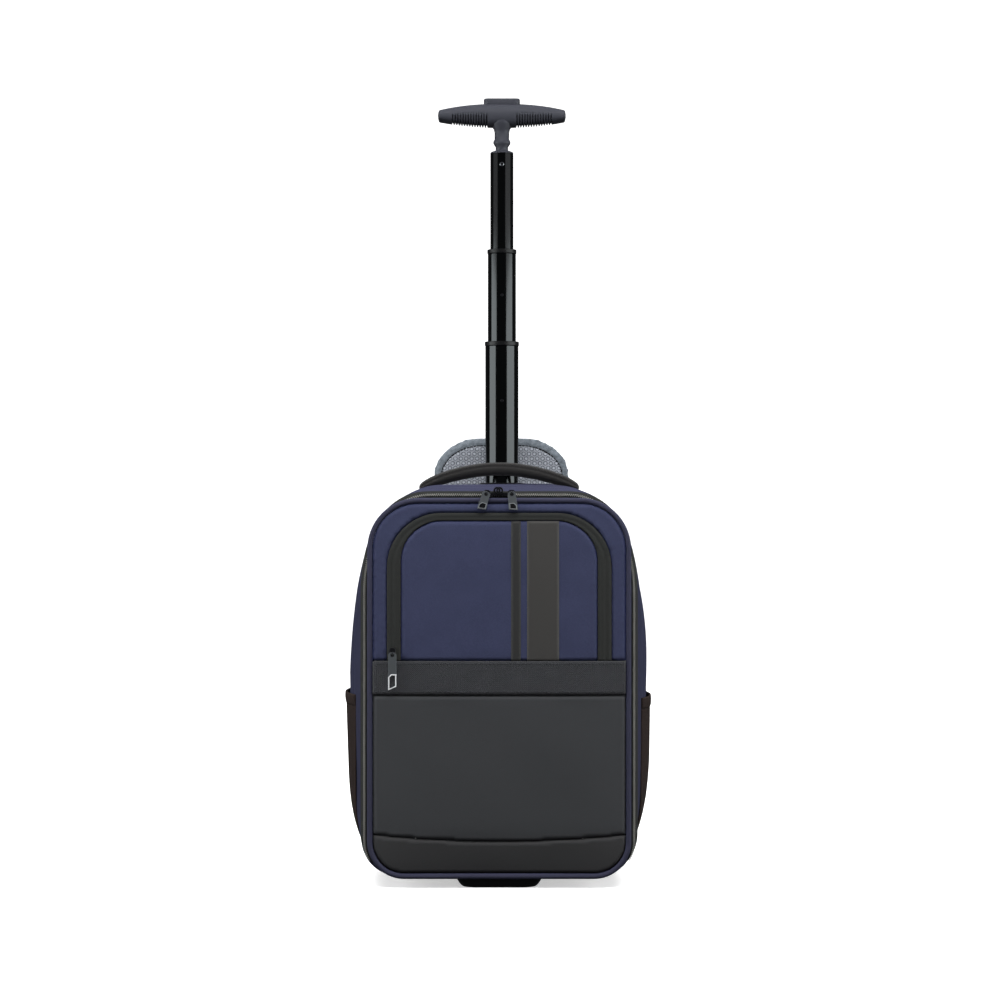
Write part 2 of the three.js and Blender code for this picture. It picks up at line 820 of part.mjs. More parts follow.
function sidePockets() {
  const reach = bagHalfWidth + cutPast;
  const body = shellSolid(gap);
  const outside = pocketSkin(gap + sidePocketWall);
  const hollow = pocketSkin(gap);
  const hemOutside = pocketSkin(gap + sidePocketWall + hemProud);
  for (const [side, hand] of [[-1, 'left'], [1, 'right']]) {
    const [inner, outer] = side < 0 ? [-reach, -sidePocketInner] : [sidePocketInner, reach];
    const zone = (low, high) => box(inner, outer, sidePocketFront, sidePocketBack, low, high);
    const hemFloor = sidePocketTop - hemHeight;
    const closing = zone(sidePocketFloor, sidePocketFloor + sidePocketWall);
    const sheet = outside.subtract(hollow).subtract(body).intersect(zone(sidePocketFloor, hemFloor - gap));
    const floor = outside.subtract(body).intersect(closing);
    const edges = [
      [sidePocketFront, sidePocketFront + sidePocketEdge],
      [sidePocketBack - sidePocketEdge, sidePocketBack],
    ].map(([near, far]) => outside.subtract(body).intersect(
      box(inner, outer, near, far, sidePocketFloor, hemFloor - gap),
    ));
    add(`side_pocket_${hand}`, joined([sheet, floor, ...edges]), stretchCloth);
    const hemEdges = [
      [sidePocketFront, sidePocketFront + sidePocketEdge],
      [sidePocketBack - sidePocketEdge, sidePocketBack],
    ].map(([near, far]) => hemOutside.subtract(body).intersect(
      box(inner, outer, near, far, hemFloor, sidePocketTop),
    ));
    const hem = hemOutside.subtract(hollow).subtract(body).intersect(zone(hemFloor, sidePocketTop));
    add(`pocket_hem_${hand}`, joined([hem, ...hemEdges]), stretchCloth);
  }
}

// The padded carry handle: a row for each section, as shares of its half span and peak height

const handleTable = [
  { along: -1.00, rise: -0.30, thick: 0.30 },
  { along: -0.90, rise: 0.02, thick: 0.55 },
  { along: -0.70, rise: 0.38, thick: 0.78 },
  { along: -0.45, rise: 0.72, thick: 0.92 },
  { along: -0.20, rise: 0.94, thick: 1.00 },
  { along: 0.00, rise: 1.00, thick: 1.00 },
  { along: 0.20, rise: 0.94, thick: 1.00 },
  { along: 0.45, rise: 0.72, thick: 0.92 },
  { along: 0.70, rise: 0.38, thick: 0.78 },
  { along: 0.90, rise: 0.02, thick: 0.55 },
  { along: 1.00, rise: -0.30, thick: 0.30 },
];

function carryHandle() {
  const crest = handlePeak - handleThickness / 2;
  const footing = bagTop;
  const rings = handleTable.map(({ along, rise, thick }) => {
    const ring = [];
    for (let side = 0; side < handleSides; side += 1) {
      const angle = (2 * Math.PI * side) / handleSides;
      ring.push(new THREE.Vector3(
        along * handleHalfSpan,
        handleY + (handleWidth / 2) * Math.cos(angle),
        footing + (crest - footing) * rise + (handleThickness * thick / 2) * Math.sin(angle),
      ));
    }
    return ring;
  });
  add('carry_handle', solid(loft(rings)).subtract(shellSolid(gap)), blackCloth);
}

// The back: flap, pad, and shoulder straps lying flat on it

function pillow(section, levels, front, thickness) {
  const rings = levels.map(({ depth, inset }) => ringAt(grown(section, -inset), front + depth * thickness));
  return solid(loft(rings));
}

const strapTable = [
  { height: 0.00, out: 0.80, width: 0.74, thick: 0.70 },
  { height: 0.04, out: 0.80, width: 0.80, thick: 1.00 },
  { height: 0.30, out: 0.74, width: 0.88, thick: 1.00 },
  { height: 0.60, out: 0.58, width: 1.00, thick: 1.00 },
  { height: 0.85, out: 0.42, width: 1.00, thick: 1.00 },
  { height: 0.97, out: 0.36, width: 0.98, thick: 0.90 },
  { height: 1.00, out: 0.35, width: 0.92, thick: 0.60 },
];

const webbingTable = [
  { height: 0.00, out: 0.94, depth: 0.00 },
  { height: 0.18, out: 0.92, depth: 0.00 },
  { height: 0.60, out: 0.86, depth: 0.40 },
  { height: 1.00, out: 0.80, depth: 1.00 },
];

function bandRing(x, halfWidth, front, back, z) {
  const soft = (back - front) * 0.3;
  return [
    [x - halfWidth, front], [x + halfWidth, front],
    [x + halfWidth + soft / 2, (front + back) / 2],
    [x + halfWidth, back], [x - halfWidth, back],
    [x - halfWidth - soft / 2, (front + back) / 2],
  ].map(([px, py]) => new THREE.Vector3(px, py, z));
}

function theBack() {
  const wallBack = bagDepth + gap;
  const flapSection = {
    halfWidth: flapHalfWidth,
    bottom: flapBottom,
    top: flapTop,
    bottomCorner: [flapLowCorner, flapLowCorner],
    topCorner: [flapCornerWide, flapCornerTall],
  };
  const flapLevels = [
    { depth: 0, inset: 3 },
    { depth: 0.25, inset: 0 },
    { depth: 0.75, inset: 0 },
    { depth: 1, inset: 3 },
  ];
  const flap = pillow(flapSection, flapLevels, wallBack, flapThickness);
  add('back_flap', flap.translate(poleX, 0, 0), greyCloth);

  const padLevels = [
    { depth: 0, inset: 0 },
    { depth: 0.4, inset: 1 },
    { depth: 0.8, inset: 5 },
    { depth: 1, inset: 14 },
  ];
  const padSection = {
    halfWidth: padHalfWidth,
    bottom: padBottom,
    top: padTop,
    bottomCorner: [padCorner, padCorner],
    topCorner: [padCorner, padCorner],
  };
  add('back_pad', pillow(padSection, padLevels, wallBack, padThickness), greyCloth);

  const strapFront = wallBack + padThickness + gap;
  const strapTop = padTop - strapBelowPadTop;
  const strapBottom = padBottom + strapAbovePadBottom;
  const strapBack = strapFront + strapThickness;
  for (const [side, hand] of [[-1, 'left'], [1, 'right']]) {
    const strap = strapTable.map(({ height, out, width, thick }) => bandRing(
      side * out * padHalfWidth,
      width * strapHalfWidth,
      strapFront,
      strapFront + strapThickness * thick,
      strapBottom + (strapTop - strapBottom) * height,
    ));
    add(`shoulder_strap_${hand}`, loft(strap), blackCloth);
    const webbingTop = strapBottom - gap;
    const rise = (strapFront + strapBack) / 2 - webbingThickness - wallBack;
    const webbing = webbingTable.map(({ height, out, depth }) => bandRing(
      side * out * padHalfWidth,
      webbingHalfWidth,
      wallBack + rise * depth,
      wallBack + rise * depth + webbingThickness,
      webbingBottom + (webbingTop - webbingBottom) * height,
    ));
    const padRoom = pillow(grown(padSection, gap), padLevels, wallBack - gap, padThickness + 2 * gap);
    add(`strap_webbing_${hand}`, solid(loft(webbing)).subtract(padRoom), blackCloth);
  }
}

// The telescopic pole: a fixed outer tube in the bag and three stages that slide in it

function tube(radius, bottom, top) {
  return pipe(radius, radius - tubeWall, bottom, top, poleX, poleY);
}

function detentHole(radius, height) {
  return rod(detentRadius, [poleX, poleY - radius - cutPast, height], [poleX, poleY, height]);
}

function pole() {
  add('outer_tube', tube(outerTubeRadius, outerTubeBottom, outerTubeTop), blackAluminium);
  add(
    'socket_bezel',
    pipe(
      outerTubeRadius + bezelRim, lowerTubeRadius + gap,
      bagTop + gap, bagTop + gap + bezelHeight,
      poleX, poleY,
    ),
    blackPlastic,
  );
  const collar = (name, radius, through, top) => add(
    name,
    pipe(radius + collarProud, through + gap, top - collarHeight, top, poleX, poleY),
    blackPlastic,
  );
  const lowerTop = lowerTubeTop - collarHeight - gap;
  const lower = tube(lowerTubeRadius, outerTubeTop - tubeOverlap, lowerTop);
  const lowerDetent = detentHole(lowerTubeRadius, lowerTubeTop - lowerDetentDrop);
  add('lower_tube', lower.subtract(lowerDetent), blackAluminium);
  collar('lower_collar', lowerTubeRadius, middleTubeRadius, lowerTubeTop);

  const middleTop = middleTubeTop - collarHeight - gap;
  const middle = tube(middleTubeRadius, lowerTubeTop - tubeOverlap, middleTop);
  const middleDetent = detentHole(middleTubeRadius, middleTubeTop - middleDetentDrop);
  add('middle_tube', middle.subtract(middleDetent), blackAluminium);
  collar('middle_collar', middleTubeRadius, upperTubeRadius, middleTubeTop);

  const screwHeight = upperTubeTop - screwDrop;
  const screwHole = rod(
    screwRadius + gap,
    [poleX, poleY - upperTubeRadius - cutPast, screwHeight],
    [poleX, poleY - upperTubeRadius + tubeWall + pocketGap, screwHeight],
  );
  const upper = tube(upperTubeRadius, middleTubeTop - tubeOverlap, upperTubeTop);
  add('upper_tube', upper.subtract(screwHole), blackAluminium);
  const screw = rod(
    screwRadius,
    [poleX, poleY - upperTubeRadius + screwSink, screwHeight],
    [poleX, poleY - upperTubeRadius + tubeWall, screwHeight],
  );
  add('pole_screw', screw, nickel);
}

// The ribbed grip, its neck and its button

function gripRing(x, slimming, ribbed) {
  const share = Math.min(Math.abs(x) / gripHalfSpan, 1);
  const top = gripTop - gripTopFall * share ** gripTopCurve;
  const bottom = gripUnderside + gripBellyRise * share;
  const middle = (top + bottom) / 2;
  const halfHeight = ((top - bottom) / 2) * slimming;
  const halfDepth = (gripHalfDepth - gripDepthTaper * share) * slimming;
  const ring = [];
  for (let side = 0; side < gripSides; side += 1) {
    const angle = (2 * Math.PI * side) / gripSides;
    const down = Math.sin(angle) < 0.3 && ribbed ? 1 - ribDepth : 1;
    ring.push(new THREE.Vector3(
      poleX + x,
      poleY + halfDepth * Math.cos(angle) * down,
      middle + halfHeight * Math.sin(angle) * down,
    ));
  }
  return ring;
}

function grip() {
  const half = [gripRing(0, 1, false)];
  for (let rib = 0; rib < ribCount; rib += 1) {
    const start = ribStart + rib * ribPitch;
    half.push(gripRing(start, 1, false), gripRing(start + ribPitch / 2, 1, true));
  }
  const ribEnd = ribStart + ribCount * ribPitch;
  half.push(gripRing(ribEnd, 1, false));
  const ending = gripHalfSpan - ribEnd;
  for (const { along, slimming } of gripEndTable) {
    half.push(gripRing(ribEnd + ending * along, slimming, false));
  }
  const mirrored = half.slice(1).reverse().map((ring) => ring.map(
    (point) => new THREE.Vector3(2 * poleX - point.x, point.y, point.z),
  ));
  const bar = solid(loft([...mirrored, ...half]));

  const plugRadius = upperTubeRadius - tubeWall - gap;
  const flareRadius = neckRadius + neckFlare;
  const neck = turned([
    [0, upperTubeTop - neckPlug],
    [plugRadius, upperTubeTop - neckPlug],
    [plugRadius, upperTubeTop + gap],
    [upperTubeRadius, upperTubeTop + gap],
    [upperTubeRadius, upperTubeTop + neckFlange],
    [neckWaist, upperTubeTop + neckWaistStart],
    [neckWaist, upperTubeTop + neckWaistEnd],
    [neckRadius, upperTubeTop + neckWaistEnd + neckWaistSlope],
    [neckRadius, gripUnderside - neckFlare],
    [flareRadius, gripUnderside + neckFlare],
    [flareRadius, gripUnderside + neckIntoGrip],
    [0, gripUnderside + neckIntoGrip],
  ], poleX, poleY, 16);

  const seatBottom = buttonTop - buttonDepth - buttonTravel - gap;
  const seat = buttonShape(gap, seatBottom, gripTop + cutPast);
  add('grip', bar.add(neck).subtract(seat), greyPlastic);
  add('grip_button', buttonShape(0, buttonTop - buttonDepth, buttonTop), blackPlastic);
}

function buttonShape(distance, bottom, top) {
  const shape = outline({
    halfWidth: buttonLength / 2 + distance,
    bottom: -buttonWidth / 2 - distance,
    top: buttonWidth / 2 + distance,
    bottomCorner: [buttonCorner, buttonCorner],
    topCorner: [buttonCorner, buttonCorner],
  });
  const level = (height) => shape.map(([x, y]) => new THREE.Vector3(poleX + x, poleY + y, height));
  return solid(loft([level(bottom), level(top)]));
}

// Sliders of the zips, each with a wire bail, and the flat pull tabs that hang on the bails

function tabShape(length) {
  const half = tabWidth / 2;
  const shape = new THREE.Shape();
  shape.moveTo(-half * tabNeck, 0);
  shape.lineTo(-half, -tabShoulder);
  shape.lineTo(-half, -length);
  shape.lineTo(half, -length + tabSlant);
  shape.lineTo(half, -tabShoulder);
  shape.lineTo(half * tabNeck, 0);
  const eye = new THREE.Path();
  eye.moveTo(-eyeHalfWidth, -eyeTop);
  eye.lineTo(eyeHalfWidth, -eyeTop);
  eye.lineTo(eyeHalfWidth, -eyeTop - eyeHeight);
  eye.lineTo(-eyeHalfWidth, -eyeTop - eyeHeight);
  shape.holes.push(eye);
  const windowTop = -Math.max(length * tabWindow, length - windowHeight);
  const windowHalf = half - windowFrame;
  const pane = new THREE.Path();
  pane.moveTo(windowHalf, windowTop);
  pane.lineTo(windowHalf, -length + windowSill + windowSlant);
  pane.lineTo(-windowHalf, -length + windowSill);
  pane.lineTo(-windowHalf, windowTop - windowTopSlant);
  shape.holes.push(pane);
  return shape;
}

function pullTab(length, lean, swing) {
  const geometry = new THREE.ExtrudeGeometry(tabShape(length), { depth: tabThickness, bevelEnabled: false });
  geometry.translate(0, 0, -tabThickness / 2);
  geometry.rotateX(Math.PI / 2);
  geometry.rotateX(THREE.MathUtils.degToRad(lean));
  geometry.rotateY(THREE.MathUtils.degToRad(swing));
  return solid(geometry);
}

// The bail is a small upright frame of wire in front of the slider, through the eye of the tab
function bail(x, front, back, top) {
  const half = bailWire / 2;
  const bar = (y0, y1, z0, z1) => box(x - half, x + half, y0, y1, z0, z1);
  const low = top - bailDrop;
  const inner = front + bailDepth;
  return joined([
    bar(front, back, top - bailWire, top),
    bar(front, front + bailWire, low - bailWire, top),
    bar(front, inner, low - bailWire, low),
    bar(inner - bailWire, inner, low - bailWire, top),
  ]);
}

function mainSliders() {
  const zipLine = faceTop + zipTeethInner + zipTeethWidth / 2;
  const back = tapeFront - gap - zipTeethHeight - gap;
  const bailTop = zipLine + mainBailRise;
  const tabY = back - sliderHeight - mainTabStandOff;
  for (const [side, hand, swing] of [[-1, 'left', mainTabSwing], [1, 'right', -mainTabSwing / 3]]) {
    const x = side * mainSliderOffset;
    const body = box(
      x - sliderLength / 2, x + sliderLength / 2,
      back - sliderHeight, back,
      zipLine - sliderBelowZip, zipLine + sliderWidth - sliderBelowZip,
    );
    const nose = box(
      side < 0 ? x : noseHalfGap, side < 0 ? -noseHalfGap : x,
      back - noseThickness, back,
      zipLine - noseBelowZip, zipLine - noseBelowZip + noseHeight,
    );
    const pieces = [body, nose, bail(x, tabY - bailFront, back - bailIntoBody, bailTop)];
    add(`main_slider_${hand}`, joined(pieces), blackMetal);
    const tab = pullTab(mainTabLength, -mainTabLean, swing);
    const tabPlace = [x, tabY + tabBehindBail, bailTop - bailWire - tabDrop];
    add(`main_tab_${hand}`, tab.translate(...tabPlace), blackMetal);
  }
}

function pocketSlider() {
  const x = -pocketHalfWidth + pocketBandSide / 2 - pocketSliderShift;
  const top = bandTop + pocketSliderAbove;
  const bodyBack = faceDepth(x, top) + pocketBandSink - gap;
  const bailTop = bandTop + pocketBailAbove;
  const tabY = bodyBack - sliderHeight - pocketTabStandOff;
  const body = box(
    x - sliderWidth / 2, x + sliderWidth / 2,
    bodyBack - sliderHeight, bodyBack,
    top - sliderLength, top,
  );
  const wire = bail(x, tabY - bailFront, bodyBack - bailIntoBody, bailTop);
  add('pocket_slider', joined([body, wire]), blackMetal);
  const tab = pullTab(pocketTabLength, 0, 0);
  const tabPlace = [x, tabY + tabBehindBail, bailTop - bailWire - tabDrop];
  add('pocket_tab', tab.translate(...tabPlace), blackMetal);
}

frontFace();
piping();
mainZip();
mainShell();
sidePockets();
carryHandle();
theBack();
pole();
grip();
mainSliders();
pocketSlider();
runningGear();

// The origin is on the floor, below the middle of the whole backpack
const whole = new THREE.Box3().setFromObject(backpack);
const middle = whole.getCenter(new THREE.Vector3());
backpack.position.set(-middle.x, -middle.y, -whole.min.z);
backpack.updateMatrixWorld(true);

export default backpack;
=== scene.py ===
# %% [markdown]
# # A wheeled backpack, dressed in Blender
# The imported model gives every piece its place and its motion. This lesson gives each piece the
# cloth, plastic or metal that the real one is made of, and the shape that such a material takes.

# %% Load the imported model
import json
import math
import random

import bmesh
import bpy
import numpy as np
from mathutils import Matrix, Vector
from mathutils.geometry import delaunay_2d_cdt

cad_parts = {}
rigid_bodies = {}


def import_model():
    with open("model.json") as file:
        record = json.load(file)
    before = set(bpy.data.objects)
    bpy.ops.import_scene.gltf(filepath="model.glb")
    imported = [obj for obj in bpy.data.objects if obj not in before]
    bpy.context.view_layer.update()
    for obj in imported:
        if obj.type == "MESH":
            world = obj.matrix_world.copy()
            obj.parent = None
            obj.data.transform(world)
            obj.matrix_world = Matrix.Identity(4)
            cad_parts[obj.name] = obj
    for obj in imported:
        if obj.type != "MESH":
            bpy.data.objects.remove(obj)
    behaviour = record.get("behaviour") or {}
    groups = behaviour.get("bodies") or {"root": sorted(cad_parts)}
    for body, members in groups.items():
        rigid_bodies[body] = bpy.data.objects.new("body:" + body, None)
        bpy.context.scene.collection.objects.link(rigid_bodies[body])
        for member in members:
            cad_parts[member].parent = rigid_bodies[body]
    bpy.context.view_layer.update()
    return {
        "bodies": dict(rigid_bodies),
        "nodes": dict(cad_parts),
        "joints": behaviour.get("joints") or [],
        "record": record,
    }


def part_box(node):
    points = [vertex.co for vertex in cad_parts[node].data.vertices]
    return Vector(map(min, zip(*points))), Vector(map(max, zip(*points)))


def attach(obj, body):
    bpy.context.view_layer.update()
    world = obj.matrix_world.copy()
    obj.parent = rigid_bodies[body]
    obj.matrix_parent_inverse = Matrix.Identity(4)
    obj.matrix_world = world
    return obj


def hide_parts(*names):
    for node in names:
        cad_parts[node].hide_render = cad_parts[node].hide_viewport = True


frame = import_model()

# %% [markdown]
# ## Sizes
# All shapes below are drawn in millimetres, with Y counted from the most forward point of the
# front face. The frame says where that point is and how large each piece is.

# %% Sizes read from the frame
def span(name):
    low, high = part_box(name)
    return np.array(low) * 1000, np.array(high) * 1000


BAG_DEPTH = 200.0
FRONT_Y = span("main_shell")[1][1] - BAG_DEPTH


def metres(points):
    return np.asarray(points, float) * 0.001 + np.array([0, FRONT_Y * 0.001, 0])


FACE_HALF = span("front_piping")[1][0]
FACE_BOTTOM, FACE_TOP = span("front_piping")[0][2], span("front_piping")[1][2]
BAG_HALF = span("main_shell")[1][0]
BAND_LOW, BAND_TOP = span("webbing_band")[0][2], span("webbing_band")[1][2]
POCKET_HALF = span("pocket_zip_tape")[1][0]
POCKET_TOP = span("pocket_zip_tape")[1][2]
TUBE_X = float(span("upper_tube")[0][0] + span("upper_tube")[1][0]) / 2
TUBE_Y = float(span("upper_tube")[0][1] + span("upper_tube")[1][1]) / 2 - FRONT_Y
POLE = (TUBE_X, TUBE_Y, 0)
FACE_CROWN = 6.0
BASE_TUCK = 5.5
FACE_CORNERS = {"low": 42.0, "high": 58.0}
print(f"front face {2 * FACE_HALF:.0f} by {FACE_TOP - FACE_BOTTOM:.0f} mm, bag {2 * BAG_HALF:.0f} mm wide")

# %% [markdown]
# ## Camera
# The photograph was taken level with the middle of the whole object, from about three metres,
# with a long lens. One pixel is then 1.13 mm at the front face.

# %% Camera
IMAGE_PIXELS = 994
DISTANCE = 3.0
FOCAL_PIXELS = 2648
EYE_HEIGHT = 0.445
EYE_LEFT = 0.0025
SENSOR = 36.0

camera = bpy.data.objects.new("camera", bpy.data.cameras.new("camera"))
camera.data.sensor_width = SENSOR
camera.data.lens = SENSOR * FOCAL_PIXELS / IMAGE_PIXELS
camera.data.clip_end = 30
camera.location = (-EYE_LEFT, FRONT_Y * 0.001 - DISTANCE, EYE_HEIGHT)
camera.rotation_euler = (math.radians(90), 0, 0)
bpy.context.scene.collection.objects.link(camera)
bpy.context.scene.camera = camera
bpy.context.scene.view_settings.view_transform = "Standard"
print(f"lens {camera.data.lens:.1f} mm")

# %% [markdown]
# ## Tools for materials
# Colours are picked as sRGB hex values, which Blender needs as linear light. One small function
# adds a node with its settings and links, so that each material reads as a short recipe.

# %% Colour and node helpers
def linear(hex_colour):
    channels = [int(hex_colour[i:i + 2], 16) / 255 for i in (1, 3, 5)]
    light = [c / 12.92 if c <= 0.04045 else ((c + 0.055) / 1.055) ** 2.4 for c in channels]
    return (*light, 1.0)


def two_tones(hex_colour, mottle):
    """A colour made a little darker and a little lighter, by a share of its light."""
    return [(*[c * (1 + share) for c in linear(hex_colour)[:3]], 1.0) for share in (-mottle, mottle)]


def node(tree, kind, settings=None, links=None):
    """Adds a node. Settings name inputs by label or number, or the node's own properties."""
    made = tree.nodes.new(kind)
    for key, value in (settings or {}).items():
        if isinstance(key, int) or key in made.inputs:
            made.inputs[key].default_value = value
        else:
            setattr(made, key, value)
    for key, source in (links or {}).items():
        tree.links.new(source, made.inputs[key])
    return made


def start_material(name, **settings):
    """A new material, its node tree and its main shader, with constant values set on the shader."""
    made = bpy.data.materials.new(name)
    made.use_nodes = True
    shader = made.node_tree.nodes["Principled BSDF"]
    for key, value in settings.items():
        shader.inputs[key.replace("_", " ").title().replace("Ior", "IOR")].default_value = value
    return made, made.node_tree, shader


print("the navy cloth in linear light:", [round(c, 3) for c in linear("#2c2f43")[:3]])

# %% [markdown]
# A weave is two crossing sets of waves. The cloth lies in many directions on a bag, so the waves
# are taken from the piece's own X, Y and Z, which need no unwrapping.

# %% Waves of thread
def thread_axes(tree, pitch):
    """Waves of warp and weft with a pitch in metres. The slant carries them round a bent surface."""
    place = node(tree, "ShaderNodeTexCoord")
    split = node(tree, "ShaderNodeSeparateXYZ", links={0: place.outputs["Object"]})
    waves = []
    for axis, slant in (("X", 0.6), ("Z", 0.8)):
        along = node(tree, "ShaderNodeMath", {"operation": "MULTIPLY_ADD", 1: slant},
                     {0: split.outputs["Y"], 2: split.outputs[axis]})
        turned = node(tree, "ShaderNodeMath", {"operation": "MULTIPLY", 1: 2 * math.pi / pitch},
                      {0: along.outputs[0]})
        waves.append(node(tree, "ShaderNodeMath", {"operation": "SINE"}, {0: turned.outputs[0]}))
    return place, waves


# %% [markdown]
# ## Woven cloths
# Most of the bag is polyester: cloth, tape and webbing. A weave is warp and weft threads passing
# over and under each other. Their pitch is 0.3 to 0.5 mm on the real cloth, finer than a pixel
# of this picture, so it is drawn at 1 to 2 mm, where it still reads as a fine grain.

# %% Cloth recipe
def cloth(name, colour, pitch=1.3, weave=0.25, mottle=0.10, grain=0.35, roughness=0.85,
          sheen=0.15, tint=None, ribs=0.0):
    """A woven cloth: pitch in mm, weave and grain are bump heights, mottle is a colour share."""
    made, tree, shader = start_material(name, roughness=roughness, specular_ior_level=0.2)
    shader.inputs["Sheen Weight"].default_value = sheen
    shader.inputs["Sheen Roughness"].default_value = 0.5
    if tint:
        shader.inputs["Sheen Tint"].default_value = linear(tint)
    place, (warp, weft) = thread_axes(tree, pitch * 0.001)
    crossing = node(tree, "ShaderNodeMath", {"operation": "MULTIPLY"},
                    {0: warp.outputs[0], 1: weft.outputs[0]})
    if ribs:
        crossing = node(tree, "ShaderNodeMath", {"operation": "MULTIPLY_ADD", 1: ribs},
                        {0: warp.outputs[0], 2: crossing.outputs[0]})
    fine = node(tree, "ShaderNodeTexNoise", {"Scale": 900.0, "Detail": 2.0},
                {"Vector": place.outputs["Object"]})
    broad = node(tree, "ShaderNodeTexNoise", {"Scale": 30.0, "Detail": 3.0},
                 {"Vector": place.outputs["Object"]})
    threads = node(tree, "ShaderNodeMath", {"operation": "MULTIPLY_ADD", 1: weave},
                   {0: crossing.outputs[0], 2: fine.outputs["Fac"]})
    blotch = node(tree, "ShaderNodeMath", {"operation": "MULTIPLY_ADD", 1: 0.6},
                  {0: broad.outputs["Fac"], 2: threads.outputs[0]})
    dark, light = two_tones(colour, mottle)
    ramp = node(tree, "ShaderNodeMapRange", {"From Min": 0.5, "From Max": 1.1},
                {"Value": blotch.outputs[0]})
    shade = node(tree, "ShaderNodeMix", {"data_type": "RGBA", 6: dark, 7: light},
                 {0: ramp.outputs[0]})
    tree.links.new(shade.outputs[2], shader.inputs["Base Color"])
    bump = node(tree, "ShaderNodeBump", {"Strength": grain, "Distance": 0.0004},
                {"Height": threads.outputs[0]})
    tree.links.new(bump.outputs[0], shader.inputs["Normal"])
    return made


# Polyester twill is matt and slightly hairy, so its edges catch a soft sheen of its own colour.
navy_twill = cloth("navy_polyester_twill", "#2c2f43", tint="#4a62c0", sheen=0.22, mottle=0.15)
# The sides are the same cloth in a greyer dye, and less of its hair is seen against the light.
side_twill = cloth("side_polyester_twill", "#292a3a", tint="#5a5f90", sheen=0.06, mottle=0.12)
# Zip tape is a dense herringbone of thin black yarn, flatter and a little shinier than cloth.
zip_tape = cloth("polyester_zip_tape", "#212221", pitch=1.6, roughness=0.7, sheen=0.05)
# Webbing is woven much thicker, and its ribs run across it, so it glitters in fine steps.
webbing = cloth("polyester_webbing", "#2b2c2f", pitch=2.2, weave=0.9, grain=1.0, roughness=0.6,
                sheen=0.1, ribs=0.5, mottle=0.22)
# Stretch knit for the side pockets is brown-black and has almost no gloss.
stretch_knit = cloth("stretch_knit", "#28211f", pitch=1.5, weave=0.5, grain=0.7, roughness=0.95,
                     sheen=0.02, tint="#6a5a58")
# The padded handle and straps are covered with a close, slightly waxy nylon.
padding_cloth = cloth("padded_nylon", "#1b1a1a", pitch=1.2, weave=0.2, roughness=0.6, sheen=0.08)
# The piping is navy twill cut on the bias and pulled tight over a cord, so it shines a little.
piping_cloth = cloth("piping_twill", "#292937", weave=0.2, grain=0.25, roughness=0.65, sheen=0.22,
                     tint="#6a76a8")
woven = (navy_twill, side_twill, zip_tape, webbing, stretch_knit, padding_cloth, piping_cloth)
print("woven cloths made:", len(woven))

# %% [markdown]
# ## Coated and printed cloths
# The lower half of the front is polyester with a polyurethane coating: the weave is sealed
# under a smooth skin with a fine leather-like grain and a low, even gloss. The two stripes are
# a matt film pressed on the navy cloth.

# %% Coated cloth and stripe film
def skin(name, colour, roughness, grain_mm, depth, mottle=0.05, specular=0.4):
    """A smooth skin with a pebbled grain of a given size in mm."""
    made, tree, shader = start_material(name, specular_ior_level=specular)
    place = node(tree, "ShaderNodeTexCoord")
    cells = node(tree, "ShaderNodeTexVoronoi", {"Scale": 1000.0 / grain_mm},
                 {"Vector": place.outputs["Object"]})
    broad = node(tree, "ShaderNodeTexNoise", {"Scale": 14.0, "Detail": 3.0},
                 {"Vector": place.outputs["Object"]})
    dark, light = two_tones(colour, mottle)
    shade = node(tree, "ShaderNodeMix", {"data_type": "RGBA", 6: dark, 7: light},
                 {0: broad.outputs["Fac"]})
    gloss = node(tree, "ShaderNodeMapRange",
                 {"To Min": roughness - 0.05, "To Max": roughness + 0.05},
                 {"Value": broad.outputs["Fac"]})
    bump = node(tree, "ShaderNodeBump", {"Strength": depth, "Distance": 0.0002},
                {"Height": cells.outputs["Distance"]})
    tree.links.new(shade.outputs[2], shader.inputs["Base Color"])
    tree.links.new(gloss.outputs[0], shader.inputs["Roughness"])
    tree.links.new(bump.outputs[0], shader.inputs["Normal"])
    return made


# The coating lies smooth over the weave: an even dark grey with a low, wide gloss.
coated_cloth = skin("pu_coated_polyester", "#303133", 0.6, 1.4, 0.25, specular=0.2)
coated_base = skin("pu_coated_base_cloth", "#2e2e2f", 0.6, 1.4, 0.25, specular=0.15)
# A pressed film has no weave at all. It is warmer than the cloth round it, with sharp edges.
stripe_film = skin("matt_tpu_film", "#31302f", 0.5, 1.0, 0.15, specular=0.3)
stripe_film_dark = skin("matt_tpu_film_dark", "#262626", 0.5, 1.0, 0.15, specular=0.25)
# Polypropylene for the foot, base and housings: moulded, with an eroded satin surface.
moulded_pp = skin("moulded_polypropylene", "#0a0a0b", 0.5, 0.8, 0.3, specular=0.25)
# The grip is glass-filled nylon, greyer, from a finely sparked mould.
grip_nylon = skin("glass_filled_nylon", "#2b2c32", 0.5, 0.7, 0.35)
# The collars are glossy black ABS, which shows a thin bright line at the foot of each tube.
collar_abs = skin("abs_collar", "#0c0c0d", 0.35, 1.2, 0.1)
# Cast polyurethane is dull and slightly dusty, unlike the plastic beside it.
tyre_pu = skin("polyurethane_tyre", "#17171a", 0.8, 1.5, 0.4, specular=0.3)
# Sewing thread is bonded polyester: deep black, or grey where it crosses the webbing.
thread_black = skin("polyester_thread", "#08080a", 0.7, 0.6, 0.2)
thread_grey = skin("polyester_thread_grey", "#2c2d30", 0.6, 0.6, 0.2)
skins = (coated_cloth, coated_base, stripe_film, stripe_film_dark, moulded_pp, grip_nylon,
         collar_abs, tyre_pu, thread_black, thread_grey)
print("smooth skins made:", len(skins))

